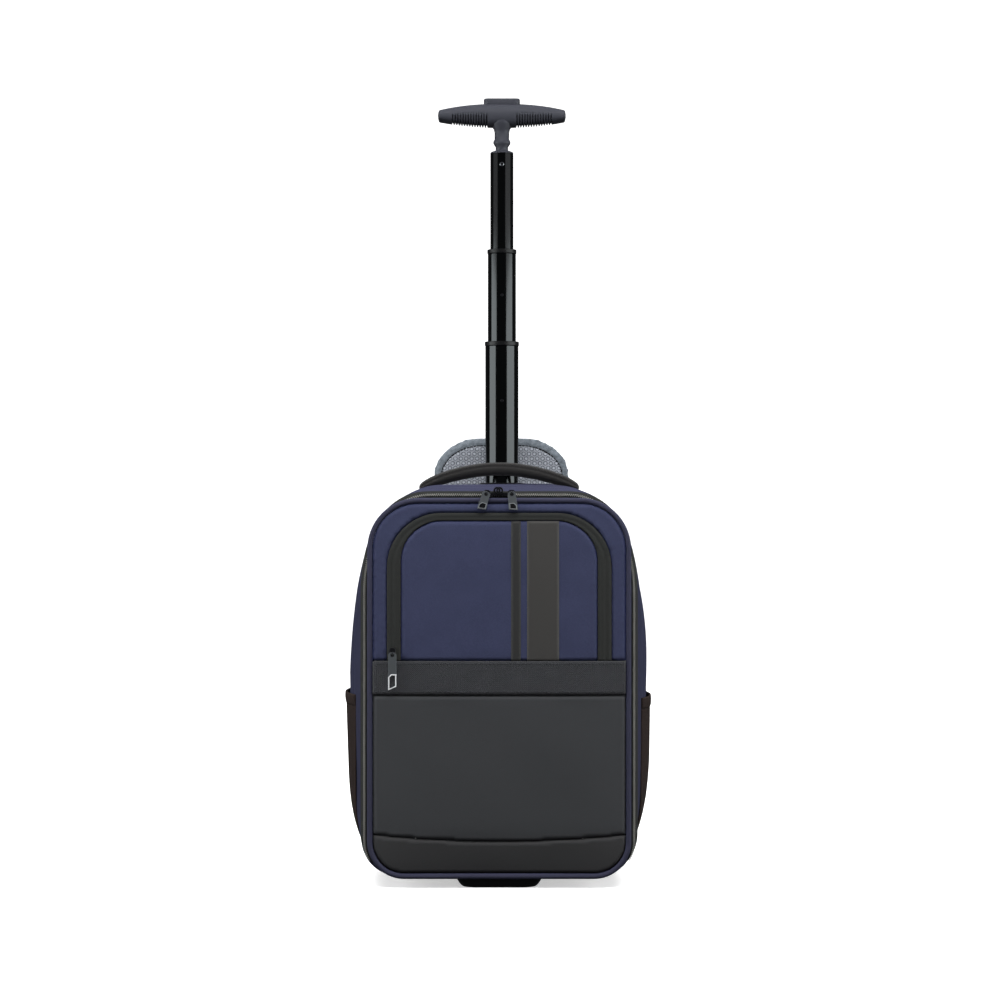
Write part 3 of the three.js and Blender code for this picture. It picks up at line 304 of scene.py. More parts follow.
# %% [markdown]
# ## Metals
# The pole is extruded aluminium, polished, then anodised black: the dye sits in a clear hard
# layer, so the tube mirrors the lamps like black glass. Sliders are die-cast zinc with a black
# electro-coat, and the pull tabs have a smoky plating. Fine streaks along Z vary the gloss.

# %% Metals
def metal(name, colour, roughness, scratch=0.03, metallic=1.0, coat=0.0):
    made, tree, shader = start_material(name, metallic=metallic)
    shader.inputs["Coat Weight"].default_value = coat
    shader.inputs["Coat Roughness"].default_value = 0.08
    shader.inputs["Base Color"].default_value = linear(colour)
    place = node(tree, "ShaderNodeTexCoord")
    stretch = node(tree, "ShaderNodeMapping", {"Scale": (900.0, 900.0, 25.0)},
                   {"Vector": place.outputs["Object"]})
    streaks = node(tree, "ShaderNodeTexNoise", {"Scale": 1.0, "Detail": 3.0},
                   {"Vector": stretch.outputs[0]})
    gloss = node(tree, "ShaderNodeMapRange",
                 {"To Min": roughness - scratch, "To Max": roughness + scratch},
                 {"Value": streaks.outputs["Fac"]})
    tree.links.new(gloss.outputs[0], shader.inputs["Roughness"])
    return made


# Anodised aluminium mirrors sharply and darkly, like smoked glass.
anodised = metal("black_anodised_aluminium", "#3c3d3e", 0.11, 0.02)
# The zip's chain is a nickel-coloured coil: pale, with a soft gloss.
nickel = metal("nickel_plated_coil", "#b4b3ad", 0.42, 0.08, metallic=0.6)
# Black electro-coat on die-cast zinc: paint-like, under a thin clear layer.
black_zinc = metal("black_coated_zinc", "#101013", 0.32, 0.06, metallic=0.3, coat=0.4)
# The tabs have a smoky grey plating. The edge of the window is coloured lighter as a painted highlight.
smoked_zinc = metal("smoked_zinc", "#5a5e61", 0.35, 0.08, metallic=0.6)
painted_highlight_edge = metal("smoked_zinc_painted_highlight_edge", "#8b8f92", 0.35, 0.08, metallic=0.5)
# The rim of the pocket tab's window is coloured bright as a painted highlight, and is the lightest spot on
# the bag.
painted_highlight_rim = metal("zinc_rim_painted_highlight", "#e2e4e6", 0.35, 0.05, metallic=0.4)
# Screw and axles are zinc-plated steel, a cool light grey.
plated_steel = metal("zinc_plated_steel", "#b4b6ba", 0.3, 0.08)
metals = (anodised, nickel, black_zinc, smoked_zinc, painted_highlight_edge, painted_highlight_rim, plated_steel)
print("metals made:", len(metals))

# %% [markdown]
# ## Grey air mesh
# The flap and the back pad are faced with spacer mesh: a knitted net of small hexagons over a
# softer backing, in mixed grey yarn. The net is drawn from the distance to the nearest centre of
# a hexagonal grid, 6.6 mm apart as counted in the photograph. A dark ring runs round each light
# centre. Both greys are yarns of many tones, so the colour is broken up by fine noise.

# %% Air mesh and its binding
HEXAGON_MM = 6.6
RING_START, RING_FULL = 0.17, 0.31  # shares of the hexagon, from its middle
RING_FADE, RING_END = 0.36, 0.46


def hexagon_distance(tree, coordinates, pitch):
    """How far a point is from the edge of its hexagon, worked out on two shifted grids."""
    tall = pitch * math.sqrt(3)
    scaled = []
    for shift in (0.0, 0.5):
        parts = []
        for axis, size in (("X", pitch), ("Z", tall)):
            cell = node(tree, "ShaderNodeMath", {"operation": "MULTIPLY_ADD", 1: 1 / size, 2: shift},
                        {0: coordinates.outputs[axis]})
            inside = node(tree, "ShaderNodeMath", {"operation": "FRACT"}, {0: cell.outputs[0]})
            centred = node(tree, "ShaderNodeMath", {"operation": "SUBTRACT", 1: 0.5},
                           {0: inside.outputs[0]})
            parts.append(node(tree, "ShaderNodeMath", {"operation": "MULTIPLY", 1: size / pitch},
                              {0: centred.outputs[0]}))
        pair = node(tree, "ShaderNodeCombineXYZ", links={0: parts[0].outputs[0],
                                                         1: parts[1].outputs[0]})
        scaled.append(node(tree, "ShaderNodeVectorMath", {"operation": "LENGTH"},
                           {0: pair.outputs[0]}))
    return node(tree, "ShaderNodeMath", {"operation": "MINIMUM"},
                {0: scaled[0].outputs["Value"], 1: scaled[1].outputs["Value"]})


def air_mesh(name, thread, hollow, net=True):
    """Melange yarn in two greys, with or without the net of hexagons."""
    made, tree, shader = start_material(name, roughness=0.95, specular_ior_level=0.2)
    shader.inputs["Sheen Weight"].default_value = 0.2
    place = node(tree, "ShaderNodeTexCoord")
    split = node(tree, "ShaderNodeSeparateXYZ", links={0: place.outputs["Object"]})
    yarn = node(tree, "ShaderNodeTexNoise", {"Scale": 260.0, "Detail": 5.0, "Roughness": 0.75},
                {"Vector": place.outputs["Object"]})
    if net:
        away = hexagon_distance(tree, split, HEXAGON_MM * 0.001)
        rise = node(tree, "ShaderNodeMapRange", {"From Min": RING_START, "From Max": RING_FULL},
                    {"Value": away.outputs[0]})
        fall = node(tree, "ShaderNodeMapRange",
                    {"From Min": RING_FADE, "From Max": RING_END, "To Max": 0.65},
                    {"Value": away.outputs[0]})
        ring = node(tree, "ShaderNodeMath", {"operation": "SUBTRACT"},
                    {0: rise.outputs[0], 1: fall.outputs[0]})
        height = node(tree, "ShaderNodeMath", {"operation": "MULTIPLY_ADD", 1: 0.35},
                      {0: yarn.outputs["Fac"], 2: ring.outputs[0]})
        pale = node(tree, "ShaderNodeMath", {"operation": "MULTIPLY_ADD", 1: -0.55, 2: 0.55},
                    {0: ring.outputs[0]})
        blend = node(tree, "ShaderNodeMath", {"operation": "MULTIPLY_ADD", 1: 0.9},
                     {0: yarn.outputs["Fac"], 2: pale.outputs[0]})
    else:
        height = yarn
        blend = node(tree, "ShaderNodeMath", {"operation": "MULTIPLY", 1: 1.4},
                     {0: yarn.outputs["Fac"]})
    ramp = node(tree, "ShaderNodeMapRange", {"From Min": 0.3, "From Max": 1.0},
                {"Value": blend.outputs[0]})
    shade = node(tree, "ShaderNodeMix",
                 {"data_type": "RGBA", 6: linear(hollow), 7: linear(thread)},
                 {0: ramp.outputs[0]})
    bump = node(tree, "ShaderNodeBump", {"Strength": 0.7, "Distance": 0.0006},
                {"Height": height.outputs[0]})
    tree.links.new(shade.outputs[2], shader.inputs["Base Color"])
    tree.links.new(bump.outputs[0], shader.inputs["Normal"])
    return made


grey_mesh = air_mesh("grey_melange_air_mesh", "#878b92", "#2a2d33")
grey_binding = air_mesh("grey_melange_binding", "#6c737a", "#282d32", net=False)
print("air mesh with hexagons of", HEXAGON_MM, "mm")

# %% [markdown]
# ## Tools for shapes
# A bag is mostly outlines: rounded rectangles that are swept, lofted or filled. The helpers
# below draw such an outline, space its points evenly, and turn rings of points into a skin.

# %% Outlines
def evenly(points, spacing=None, count=None, closed=True):
    """The same line with points a fixed distance apart."""
    points = np.asarray(points, float)
    line = np.vstack([points, points[:1]]) if closed else points
    lengths = np.concatenate([[0], np.cumsum(np.linalg.norm(np.diff(line, axis=0), axis=1))])
    if count is None:
        count = max(int(round(lengths[-1] / spacing)), 4) + (0 if closed else 1)
    marks = np.linspace(0, lengths[-1], count, endpoint=not closed)
    return np.stack([np.interp(marks, lengths, line[:, axis]) for axis in range(line.shape[1])], 1)


def rounded(half, bottom, top, low, high, powers=(2.0, 2.0), steps=24):
    """A closed outline from the bottom middle, up the right side and down the left one."""
    angles = np.linspace(0, math.pi / 2, steps)
    sines, cosines = np.sin(angles), np.cos(angles).clip(0)
    across, up = sines ** (2 / powers[0]), cosines ** (2 / powers[0])
    low_corner = np.stack([half - low[0] + low[0] * across, bottom + low[1] * (1 - up)], 1)
    across, up = cosines ** (2 / powers[1]), sines ** (2 / powers[1])
    high_corner = np.stack([half - high[0] + high[0] * across, top - high[1] * (1 - up)], 1)
    right = np.vstack([[[0, bottom]], low_corner, high_corner, [[0, top]]])
    left = right[1:-1][::-1] * np.array([-1, 1])
    return np.vstack([right, left])


def face_outline(inset, spacing=2.5):
    low, high = FACE_CORNERS["low"] - inset, FACE_CORNERS["high"] - inset
    shape = rounded(FACE_HALF - inset, FACE_BOTTOM + inset, FACE_TOP - inset,
                    (low, low), (high, high))
    return evenly(shape, spacing)


def outward(line, closed=True):
    """The unit normals of a counterclockwise line in X and Z."""
    if closed:
        along = np.roll(line, -1, 0) - np.roll(line, 1, 0)
    else:
        along = np.gradient(line, axis=0)
    along /= np.linalg.norm(along, axis=1)[:, None]
    return np.stack([along[:, 1], -along[:, 0]], 1)


def calmed(rows, rounds):
    """Eases a table or a line of values between its fixed ends, a little in each round."""
    for _ in range(rounds):
        rows[1:-1] = (rows[:-2] + 2 * rows[1:-1] + rows[2:]) / 4
    return rows


print("points on the face's outline:", len(face_outline(0)))

# %% [markdown]
# A piece starts as a skin: points and faces in millimetres. It becomes an object here, takes its
# finish, rides on the body that carries it, and hides the plain solid that it stands for. A piece
# rides on the bag unless it names another body.

# %% Skins from rings, and pieces from skins
def skin_of(rings, closed_rings=True, loop=False, capped=True):
    """Joins rings of equal size, each (count, 3), into points and faces."""
    rings = np.asarray(rings, float)
    rows, count = rings.shape[:2]
    points = rings.reshape(-1, 3)
    row = np.arange(rows if loop else rows - 1)
    column = np.arange(count if closed_rings else count - 1)
    near = row[:, None] * count
    far = ((row[:, None] + 1) % rows) * count
    nxt = (column + 1) % count
    quads = np.stack([near + column, far + column, far + nxt, near + nxt], -1).reshape(-1, 4)
    faces = quads.tolist()
    if capped and not loop and closed_rings:
        faces.append(list(range(count)))
        faces.append([(rows - 1) * count + index for index in range(count)][::-1])
    return points, faces


def merged(parts):
    """Several skins as one list of points and faces."""
    points, faces, start = [], [], 0
    for part_points, part_faces in parts:
        points.append(np.asarray(part_points, float))
        faces += [[index + start for index in face] for face in part_faces]
        start += len(part_points)
    return np.vstack(points), faces


def piece(name, skin_parts, finish, body="bag", replaces=(), sharp=None):
    """Makes one object from a skin in millimetres, with its faces turned outwards."""
    points, faces = skin_parts
    mesh = bpy.data.meshes.new(name)
    mesh.from_pydata(metres(points).tolist(), [], faces)
    work = bmesh.new()
    work.from_mesh(mesh)
    bmesh.ops.recalc_face_normals(work, faces=work.faces)
    work.to_mesh(mesh)
    work.free()
    mesh.shade_smooth()
    if sharp:
        mesh.set_sharp_from_angle(angle=math.radians(sharp))
    mesh.materials.append(finish)
    made = bpy.data.objects.new(name, mesh)
    bpy.context.scene.collection.objects.link(made)
    if body:
        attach(made, body)
    if replaces:
        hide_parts(*replaces)
    return made


# %% [markdown]
# ## The front panels
# The front is sewn from flat cuts of cloth over a thin foam, so it is nearly flat, falls back a
# little at its rim and turns in sharply at every seam. Each panel is a fine mesh inside its own
# outline, set at the depth of the face there.

# %% The face's depth, and filled outlines
TUCK_TOP, TUCK_TALL = 75, 62


def face_depth(x, z):
    """How far back the front face lies: flat in the middle, back at the rim, tucked in below."""
    middle, half_height = (FACE_TOP + FACE_BOTTOM) / 2, (FACE_TOP - FACE_BOTTOM) / 2
    across = 1 - np.minimum(np.abs(x) / FACE_HALF, 1) ** 4
    upwards = 1 - np.minimum(np.abs(z - middle) / half_height, 1) ** 4
    tuck = BASE_TUCK * np.clip((TUCK_TOP - z) / TUCK_TALL, 0, 1) ** 1.6
    return FACE_CROWN * (1 - across * upwards) + tuck * across


def edge_distance(points, line):
    """The distance of each point in X and Z from a closed line, and how far along it that is."""
    start, end = line, np.roll(line, -1, 0)
    along = end - start
    lengths = np.linalg.norm(along, axis=1)
    best, where = np.full(len(points), 1e9), np.zeros(len(points))
    travelled = np.concatenate([[0], np.cumsum(lengths)[:-1]])
    for a, d, size, before in zip(start, along, lengths, travelled):
        share = np.clip((points - a) @ d / size ** 2, 0, 1)
        away = np.linalg.norm(points - a - share[:, None] * d, axis=1)
        closer = away < best
        best[closer], where[closer] = away[closer], (before + share * size)[closer]
    return best, where


def filled(line, pitch):
    """Points and triangles that fill a closed line with an even grid."""
    low, high = line.min(0), line.max(0)
    rows = np.arange(low[1], high[1], pitch * math.sqrt(3) / 2)
    grid = [[x + (row % 2) * pitch / 2, z] for row, z in enumerate(rows)
            for x in np.arange(low[0], high[0], pitch)]
    grid = np.array(grid)
    away, _ = edge_distance(grid, line)
    coordinates = np.vstack([line, grid[away > pitch * 0.55]])
    found = delaunay_2d_cdt(coordinates.tolist(), [], [list(range(len(line)))], 1, 1e-6)
    return np.array([list(v) for v in found[0]]), found[2]


def two_sided(near, far, triangles, rim):
    """Two copies of a filled outline, joined along its first points, which are its rim."""
    count = len(near)
    faces = [list(t) for t in triangles] + [[i + count for i in t][::-1] for t in triangles]
    faces += [[i, i + count, (i + 1) % rim + count, (i + 1) % rim] for i in range(rim)]
    return np.vstack([near, far]), faces


square = np.array([[0, 0], [10, 0], [10, 10], [0, 10]], float)
print("points that fill a small square:", len(filled(evenly(square, 2.0), 2.0)[0]))

# %% [markdown]
# Sewn cloth is never quite flat. Slow waves run over it, it rolls back where it turns into a seam,
# and the thread pulls the edge into small puckers about 9 mm apart.

# %% A panel of cloth
WAVE_MM, WAVE_REST = 110, 12
PUCKER_MM, PUCKER_FADE = 9, 5


def soft_noise(points, size, seed):
    """Smooth waves of about a given size in mm, from -1 to 1, that look like handled cloth."""
    source = random.Random(seed)
    total = np.zeros(len(points))
    for _ in range(7):
        angle, phase = source.uniform(0, 2 * math.pi), source.uniform(0, 2 * math.pi)
        stretch = source.uniform(0.7, 1.6) * size
        total += np.sin(2 * math.pi * (points @ [math.cos(angle), math.sin(angle)]) / stretch + phase)
    return total / 4


def panel(name, line, finish, lift=0.0, thickness=3.0, roll=2.8, roll_width=2.4, wave=0.35,
          pucker=0.25, pitch=2.8, seed=1, relief=None, **options):
    """A cut of cloth on the face. Roll, wave, pucker and relief are heights in mm."""
    line = evenly(line, pitch)
    points, triangles = filled(line, pitch)
    away, where = edge_distance(points, line)
    turned_in = roll * (1 - np.clip(away / roll_width, 0, 1)) ** 2
    puckers = pucker * np.sin(where * 2 * math.pi / PUCKER_MM) * np.exp(-away / PUCKER_FADE)
    depth = face_depth(points[:, 0], points[:, 1]) - lift - (relief(points) if relief else 0)
    waves = wave * soft_noise(points, WAVE_MM, seed) * np.clip(away / WAVE_REST, 0, 1)
    face = np.stack([points[:, 0], depth + turned_in + puckers + waves, points[:, 1]], 1)
    back = np.stack([points[:, 0], np.maximum(depth + thickness, face[:, 1] + 0.6), points[:, 1]], 1)
    return piece(name, two_sided(face, back, triangles, len(line)), finish, **options)


print("the middle of the face lies", float(face_depth(0, (FACE_TOP + FACE_BOTTOM) / 2)), "mm deep")

# %% [markdown]
# The upper half is one navy cloth around an arched pocket. The pocket's zip hides under a double
# band of black tape, and two stripes of matt film run down the pocket beside each other.

# %% Navy cloth and stripes
PIPING_RADIUS = 3.0
SEAM_ROOM = 0.3
PANEL_EDGE = 2 * PIPING_RADIUS + SEAM_ROOM
POCKET_CORNER = 62.0
TAPE_SIDE, TAPE_TOP = 16.0, 9.0
BAND_EDGE = BAND_TOP + SEAM_ROOM


def arch(distance=0.0, side=0.0, above=0.0, steps=28):
    """The pocket's outline from its right foot, over the top, to its left foot."""
    half, top = POCKET_HALF - side + distance, POCKET_TOP - above + distance
    corner = POCKET_CORNER - side + distance
    angles = np.linspace(0, math.pi / 2, steps)
    right = np.stack([half - corner + corner * np.cos(angles), top - corner + corner * np.sin(angles)], 1)
    left = right[::-1] * [-1, 1]
    return np.vstack([[[half, BAND_EDGE]], right, left, [[-half, BAND_EDGE]]])


def rim_part(low, high):
    """The points of the panels' outer edge between two heights, from the right side to the left."""
    line = face_outline(PANEL_EDGE, 2.0)
    line = line[(line[:, 1] > low) & (line[:, 1] < high)]
    middle = np.array([0, low if high > FACE_TOP else high])
    angles = np.arctan2(line[:, 1] - middle[1], line[:, 0])
    return line[np.argsort(angles)]


INNER_HALF = FACE_HALF - PANEL_EDGE
surround = np.vstack([
    [[INNER_HALF, BAND_EDGE]], rim_part(BAND_EDGE, 1000), [[-INNER_HALF, BAND_EDGE]],
    arch(SEAM_ROOM)[::-1],
])
panel("front_surround_cloth", surround, navy_twill, replaces=["front_surround"], seed=3, pucker=0.4)
panel("pocket_panel_cloth", arch(0, TAPE_SIDE, TAPE_TOP), navy_twill, replaces=["pocket_panel"],
      seed=5, wave=0.5)
# name, left edge and width
for name, left, width in (("narrow", 13.5, 11.0), ("wide", 31.5, 36.5)):
    top = POCKET_TOP - TAPE_TOP - SEAM_ROOM
    stripe = np.array([[left, BAND_EDGE], [left + width, BAND_EDGE], [left + width, top], [left, top]])
    film = stripe_film if name == "wide" else stripe_film_dark
    panel(f"stripe_{name}_film", stripe, film, lift=0.6, thickness=0.5, roll=0.3,
          roll_width=0.8, wave=0.0, pucker=0.0, pitch=2.6, replaces=[f"stripe_{name}"])
print("navy panels:", len(surround), "points in the surround's outline")

# %% [markdown]
# The pocket band has fine ridges along it: the folded edge of the cover, and a line of stitching
# on each side of the hidden coil. They are part of the tape's shape, so the light draws them as
# it does on the real tape.

# %% Pocket band with its ridges
TAPE_RIDGES = [(3.0, 0.7, 0.5), (6.2, 0.8, -0.6), (9.5, 0.8, 0.6)]  # from the edge, width, height


def tape_relief(points):
    outer_edge = np.vstack([arch(0), [[-POCKET_HALF, -300], [POCKET_HALF, -300]]])
    away, _ = edge_distance(points, outer_edge)
    return sum(height * np.exp(-((away - middle) / width) ** 2) for middle, width, height in TAPE_RIDGES)


tape_line = np.vstack([arch(0), arch(SEAM_ROOM, TAPE_SIDE, TAPE_TOP)[::-1]])
panel("pocket_zip_band", tape_line, zip_tape, lift=-0.6, wave=0.1, pucker=0.05, pitch=1.7,
      roll=0.5, roll_width=1.2, relief=tape_relief, replaces=["pocket_zip_tape"])
print("ridges on the pocket band:", len(TAPE_RIDGES))

# %% [markdown]
# Under the pocket a wide webbing crosses the bag, then comes the coated cloth: one large panel
# and a low one at the base, joined by a seam that sags in the middle.

# %% Webbing and coated panels
BASE_SEAM, SEAM_SAG, SEAM_HALF = 54.0, 9.0, 160.0


def base_seam(x, room=0.0):
    """The height of the sagging seam at a distance from the middle."""
    return BASE_SEAM + room + SEAM_SAG * ((x / SEAM_HALF) ** 2)


band = np.array([[-INNER_HALF, BAND_LOW], [INNER_HALF, BAND_LOW],
                 [INNER_HALF, BAND_TOP], [-INNER_HALF, BAND_TOP]])
panel("webbing_band_weave", band, webbing, lift=1.0, roll=0.7, roll_width=1.4, wave=0.15,
      pucker=0.06, pitch=2.8, replaces=["webbing_band"])

lower_rim = rim_part(-1000, BAND_LOW - SEAM_ROOM)
right_rim = lower_rim[lower_rim[:, 0] > 0]
right_rim = right_rim[np.argsort(right_rim[:, 1])]
seam_half = float(np.interp(base_seam(INNER_HALF), right_rim[:, 1], right_rim[:, 0]))
seam_x = np.linspace(-seam_half, seam_half, 120)
beside = right_rim[right_rim[:, 1] > base_seam(right_rim[:, 0], SEAM_ROOM) + 0.5]
below = lower_rim[lower_rim[:, 1] < base_seam(lower_rim[:, 0]) - 0.5]
top_edge = BAND_LOW - SEAM_ROOM
large = np.vstack([
    np.stack([seam_x, base_seam(seam_x, SEAM_ROOM)], 1), beside,
    [[INNER_HALF, top_edge], [-INNER_HALF, top_edge]], beside[::-1] * [-1, 1],
])
below = below[np.argsort(np.arctan2(below[:, 0], 200 - below[:, 1]))]
small = np.vstack([below, np.stack([seam_x, base_seam(seam_x)], 1)[::-1]])
panel("lower_panel_coated", large, coated_cloth, replaces=["lower_panel"], seed=11, wave=0.45,
      pucker=0.12)
panel("bottom_panel_coated", small, coated_base, replaces=["bottom_panel"], seed=13, wave=0.3,
      pucker=0.15)
print("base seam is", round(2 * seam_half), "mm long")

# %% [markdown]
# ## Piping and the main zip
# A cord wrapped in navy cloth edges the whole front and hides the seam behind it. Outside it
# runs the main zip: black tape, and a metal-look chain whose teeth stand about 2.4 mm apart.

# %% Sweeping a section round the face
def swept(section, shape, closed=True):
    """section gives (outward, depth) points, and shape is the outline in X and Z."""
    normals = outward(shape, closed)
    rings = []
    for point, normal in zip(shape, normals):
        ring = [[point[0] + normal[0] * out, deep, point[1] + normal[1] * out]
                for out, deep in section]
        rings.append(ring)
    return skin_of(rings, loop=closed)


PIPING_Y = 8.0
circle = [(math.cos(a), math.sin(a)) for a in np.linspace(0, 2 * math.pi, 18, endpoint=False)]
piping_path = face_outline(PIPING_RADIUS, 2.2)
cord_section = [(PIPING_RADIUS * c, PIPING_Y + PIPING_RADIUS * s) for c, s in circle]
piece("front_piping_cord", swept(cord_section, piping_path), piping_cloth, replaces=["front_piping"])

ZIP_END = 30.0
RIM_REACH = 7.6
TAPE_FRONT, TAPE_BACK = 11.3, 12.5


RIM_FLOOR = 2.3
RIM_CORNER, RIM_POWERS = (80, 120), (2.0, 2.3)


def rim_outline():
    """Where the shell begins, outside the zip. In the top corners it runs behind the piping."""
    low = FACE_CORNERS["low"] + RIM_REACH
    return rounded(FACE_HALF + RIM_REACH, FACE_BOTTOM + RIM_FLOOR, FACE_TOP + RIM_REACH, (low, low),
                   RIM_CORNER, RIM_POWERS)


def strip_between(inner, outer, front, back, count):
    inner, outer = evenly(inner, count=count), evenly(outer, count=count)
    rings = [np.insert(inner, 1, front, 1), np.insert(outer, 1, front, 1),
             np.insert(outer, 1, back, 1), np.insert(inner, 1, back, 1)]
    return [np.array([ring[i] for ring in rings]) for i in range(count)]


sections = strip_between(face_outline(2 * PIPING_RADIUS), rim_outline(), TAPE_FRONT, TAPE_BACK, 600)
heights = np.array([section[:, 2].mean() for section in sections])
upper = [i for i in range(len(sections)) if heights[i] > ZIP_END]
lower = [i for i in range(len(sections)) if heights[i] < ZIP_END - SEAM_ROOM]
lower = sorted(lower, key=lambda i: sections[i][1][0])
piece("main_zip_band", skin_of([sections[i] for i in upper]), zip_tape, replaces=["main_zip_tape"])
piece("bottom_gusset_cloth", skin_of([sections[i] for i in lower]), side_twill,
      replaces=["bottom_gusset"])
print("tape sections:", len(upper), "and gusset sections:", len(lower))

# %% [markdown]
# The chain is a coil that looks like metal: short pale elements in two rows that lock in the
# middle. They are modelled one by one, because at this scale each one catches its own light.

# %% Teeth
TOOTH_PITCH = 2.4
TOOTH_ALONG, TOOTH_ACROSS, TOOTH_HIGH = 1.3, 1.5, 1.2
CHAIN_LINE = 3.4
CHAIN_CORNER = (78, 118)
TOOTH_SINK = 0.3


def block(centre, along, out, half):
    """A small block with softened ends, set along a path."""
    corners = []
    for deep, shrink in ((-1, 0.6), (1, 1.0)):
        for a, o in ((-1, -1), (1, -1), (1, 1), (-1, 1)):
            corners.append(centre + along * a * half[0] * shrink + out * o * half[1] * shrink
                           + np.array([0, deep * half[2], 0]))
    faces = [[0, 1, 2, 3], [7, 6, 5, 4], [0, 4, 5, 1], [1, 5, 6, 2], [2, 6, 7, 3], [3, 7, 4, 0]]
    return np.array(corners), faces


def chain(path, half_pitch, rows):
    """Two rows of teeth that meet in the middle, every other tooth on the other side."""
    line = evenly(path, half_pitch)
    normals = outward(line)
    blocks = []
    for index, (point, normal) in enumerate(zip(line, normals)):
        if point[1] < ZIP_END + 1:
            continue
        side = rows[index % 2]
        out = np.array([normal[0], 0, normal[1]])
        along = np.array([-normal[1], 0, normal[0]])
        centre = np.array([point[0], TAPE_FRONT - TOOTH_SINK - TOOTH_HIGH / 2, point[1]]) + out * side
        blocks.append(block(centre, along, out, (TOOTH_ALONG / 2, TOOTH_ACROSS / 2, TOOTH_HIGH / 2)))
    return blocks


chain_low = FACE_CORNERS["low"] + CHAIN_LINE
chain_path = rounded(FACE_HALF + CHAIN_LINE, FACE_BOTTOM - CHAIN_LINE, FACE_TOP + CHAIN_LINE,
                     (chain_low, chain_low), CHAIN_CORNER, RIM_POWERS)
teeth = chain(chain_path, TOOTH_PITCH / 2, (-0.6, 0.6))
piece("main_zip_chain", merged(teeth), nickel, replaces=["main_zip_teeth"], sharp=30)
print("teeth:", len(teeth))

# %% [markdown]
# ## The shell
# Behind the zip the bag swells to the sides and over the top, then closes at the flat back. The
# table gives the cut at a few depths, and the rows between them are eased into one soft form.
# Cloth shows its making in small things: two sewn seams round the body, and slow waves.

# %% Sections of the shell
SHELL_FRONT = 12.8
SHELL_WALL = 2.5
# depth share, half width, bottom, top, wide and tall top corner, wide and tall low corner, power
SHELL_CUTS = np.array([
    [0.000, 157.6, 13.3, 451.6, 80.0, 120.0, 49.6, 49.6, 2.3],
    [0.085, 163.0, 15.5, 455.4, 88.0, 144.9, 50.0, 82.8, 2.1],
    [0.260, 169.9, 15.5, 458.6, 103.5, 198.0, 53.5, 110.4, 2.15],
    [0.480, 172.5, 15.5, 460.0, 112.1, 222.0, 56.1, 125.1, 2.2],
    [0.740, 170.8, 15.5, 460.0, 112.1, 222.0, 56.1, 125.1, 2.2],
    [0.895, 164.7, 15.5, 455.9, 107.0, 208.0, 53.5, 119.6, 2.2],
    [0.970, 156.1, 20.7, 449.0, 96.6, 186.0, 48.3, 110.4, 2.15],
    [1.000, 146.6, 35.9, 439.3, 86.2, 161.0, 43.1, 96.6, 2.2],
])
fine = np.linspace(0, 1, 201)
eased = np.stack([np.interp(fine, SHELL_CUTS[:, 0], SHELL_CUTS[:, i]) for i in range(1, 9)], 1)
eased = calmed(eased, 40)


BULGE, BULGE_AT, BULGE_TALL = 2.8, 225, 60
DRAWN_IN, DRAWN_TOP, DRAWN_TALL = 4.0, 150, 90


def handling(points):
    """The filled bag leans a little: the left flank bulges, and the right one is drawn in below."""
    x, z = points[:, 0], points[:, 1]
    bulge = BULGE * np.exp(-((z - BULGE_AT) / BULGE_TALL) ** 2) * np.clip(-x / BAG_HALF, 0, 1) ** 3
    drawn = DRAWN_IN * np.clip((DRAWN_TOP - z) / DRAWN_TALL, 0, 1) * np.clip(x / BAG_HALF, 0, 1) ** 3
    return np.stack([x - bulge - drawn, z], 1)


def shell_section(y, count=None):
    """The shell's outline at one depth."""
    share = np.clip((y - SHELL_FRONT) / (BAG_DEPTH - SHELL_FRONT), 0, 1)
    half, bottom, top, hw, ht, lw, lt, power = [np.interp(share, fine, eased[:, i]) for i in range(8)]
    shape = handling(rounded(half, bottom, top, (lw, lt), (hw, ht), (power, power), 40))
    return evenly(shape, count=count) if count else shape


def flank(y, z, side):
    """How far the shell reaches to one side at a given depth and height."""
    shape = shell_section(y)
    half = shape[:len(shape) // 2 + 1] if side > 0 else shape[len(shape) // 2:][::-1]
    return np.interp(z, half[:, 1], np.abs(half[:, 0]))


print("shell at mid depth:", np.round(2 * shell_section(106)[:, 0].max()), "mm wide")

# %% [markdown]
# The cuts become rings of points, outside and in. A sewn seam is a narrow dip across a few close
# rings. The slow waves fade out at the zip and at the back, where the cloth is held.

# %% The shell's cloth
SHELL_SEAMS = (46.0, 184.0)
SEAM_DIP, SEAM_WIDTH = 0.9, 0.9
WAVE_HIGH, WAVE_LONG, WAVE_FADE = 0.9, 90, 25
AROUND = 260


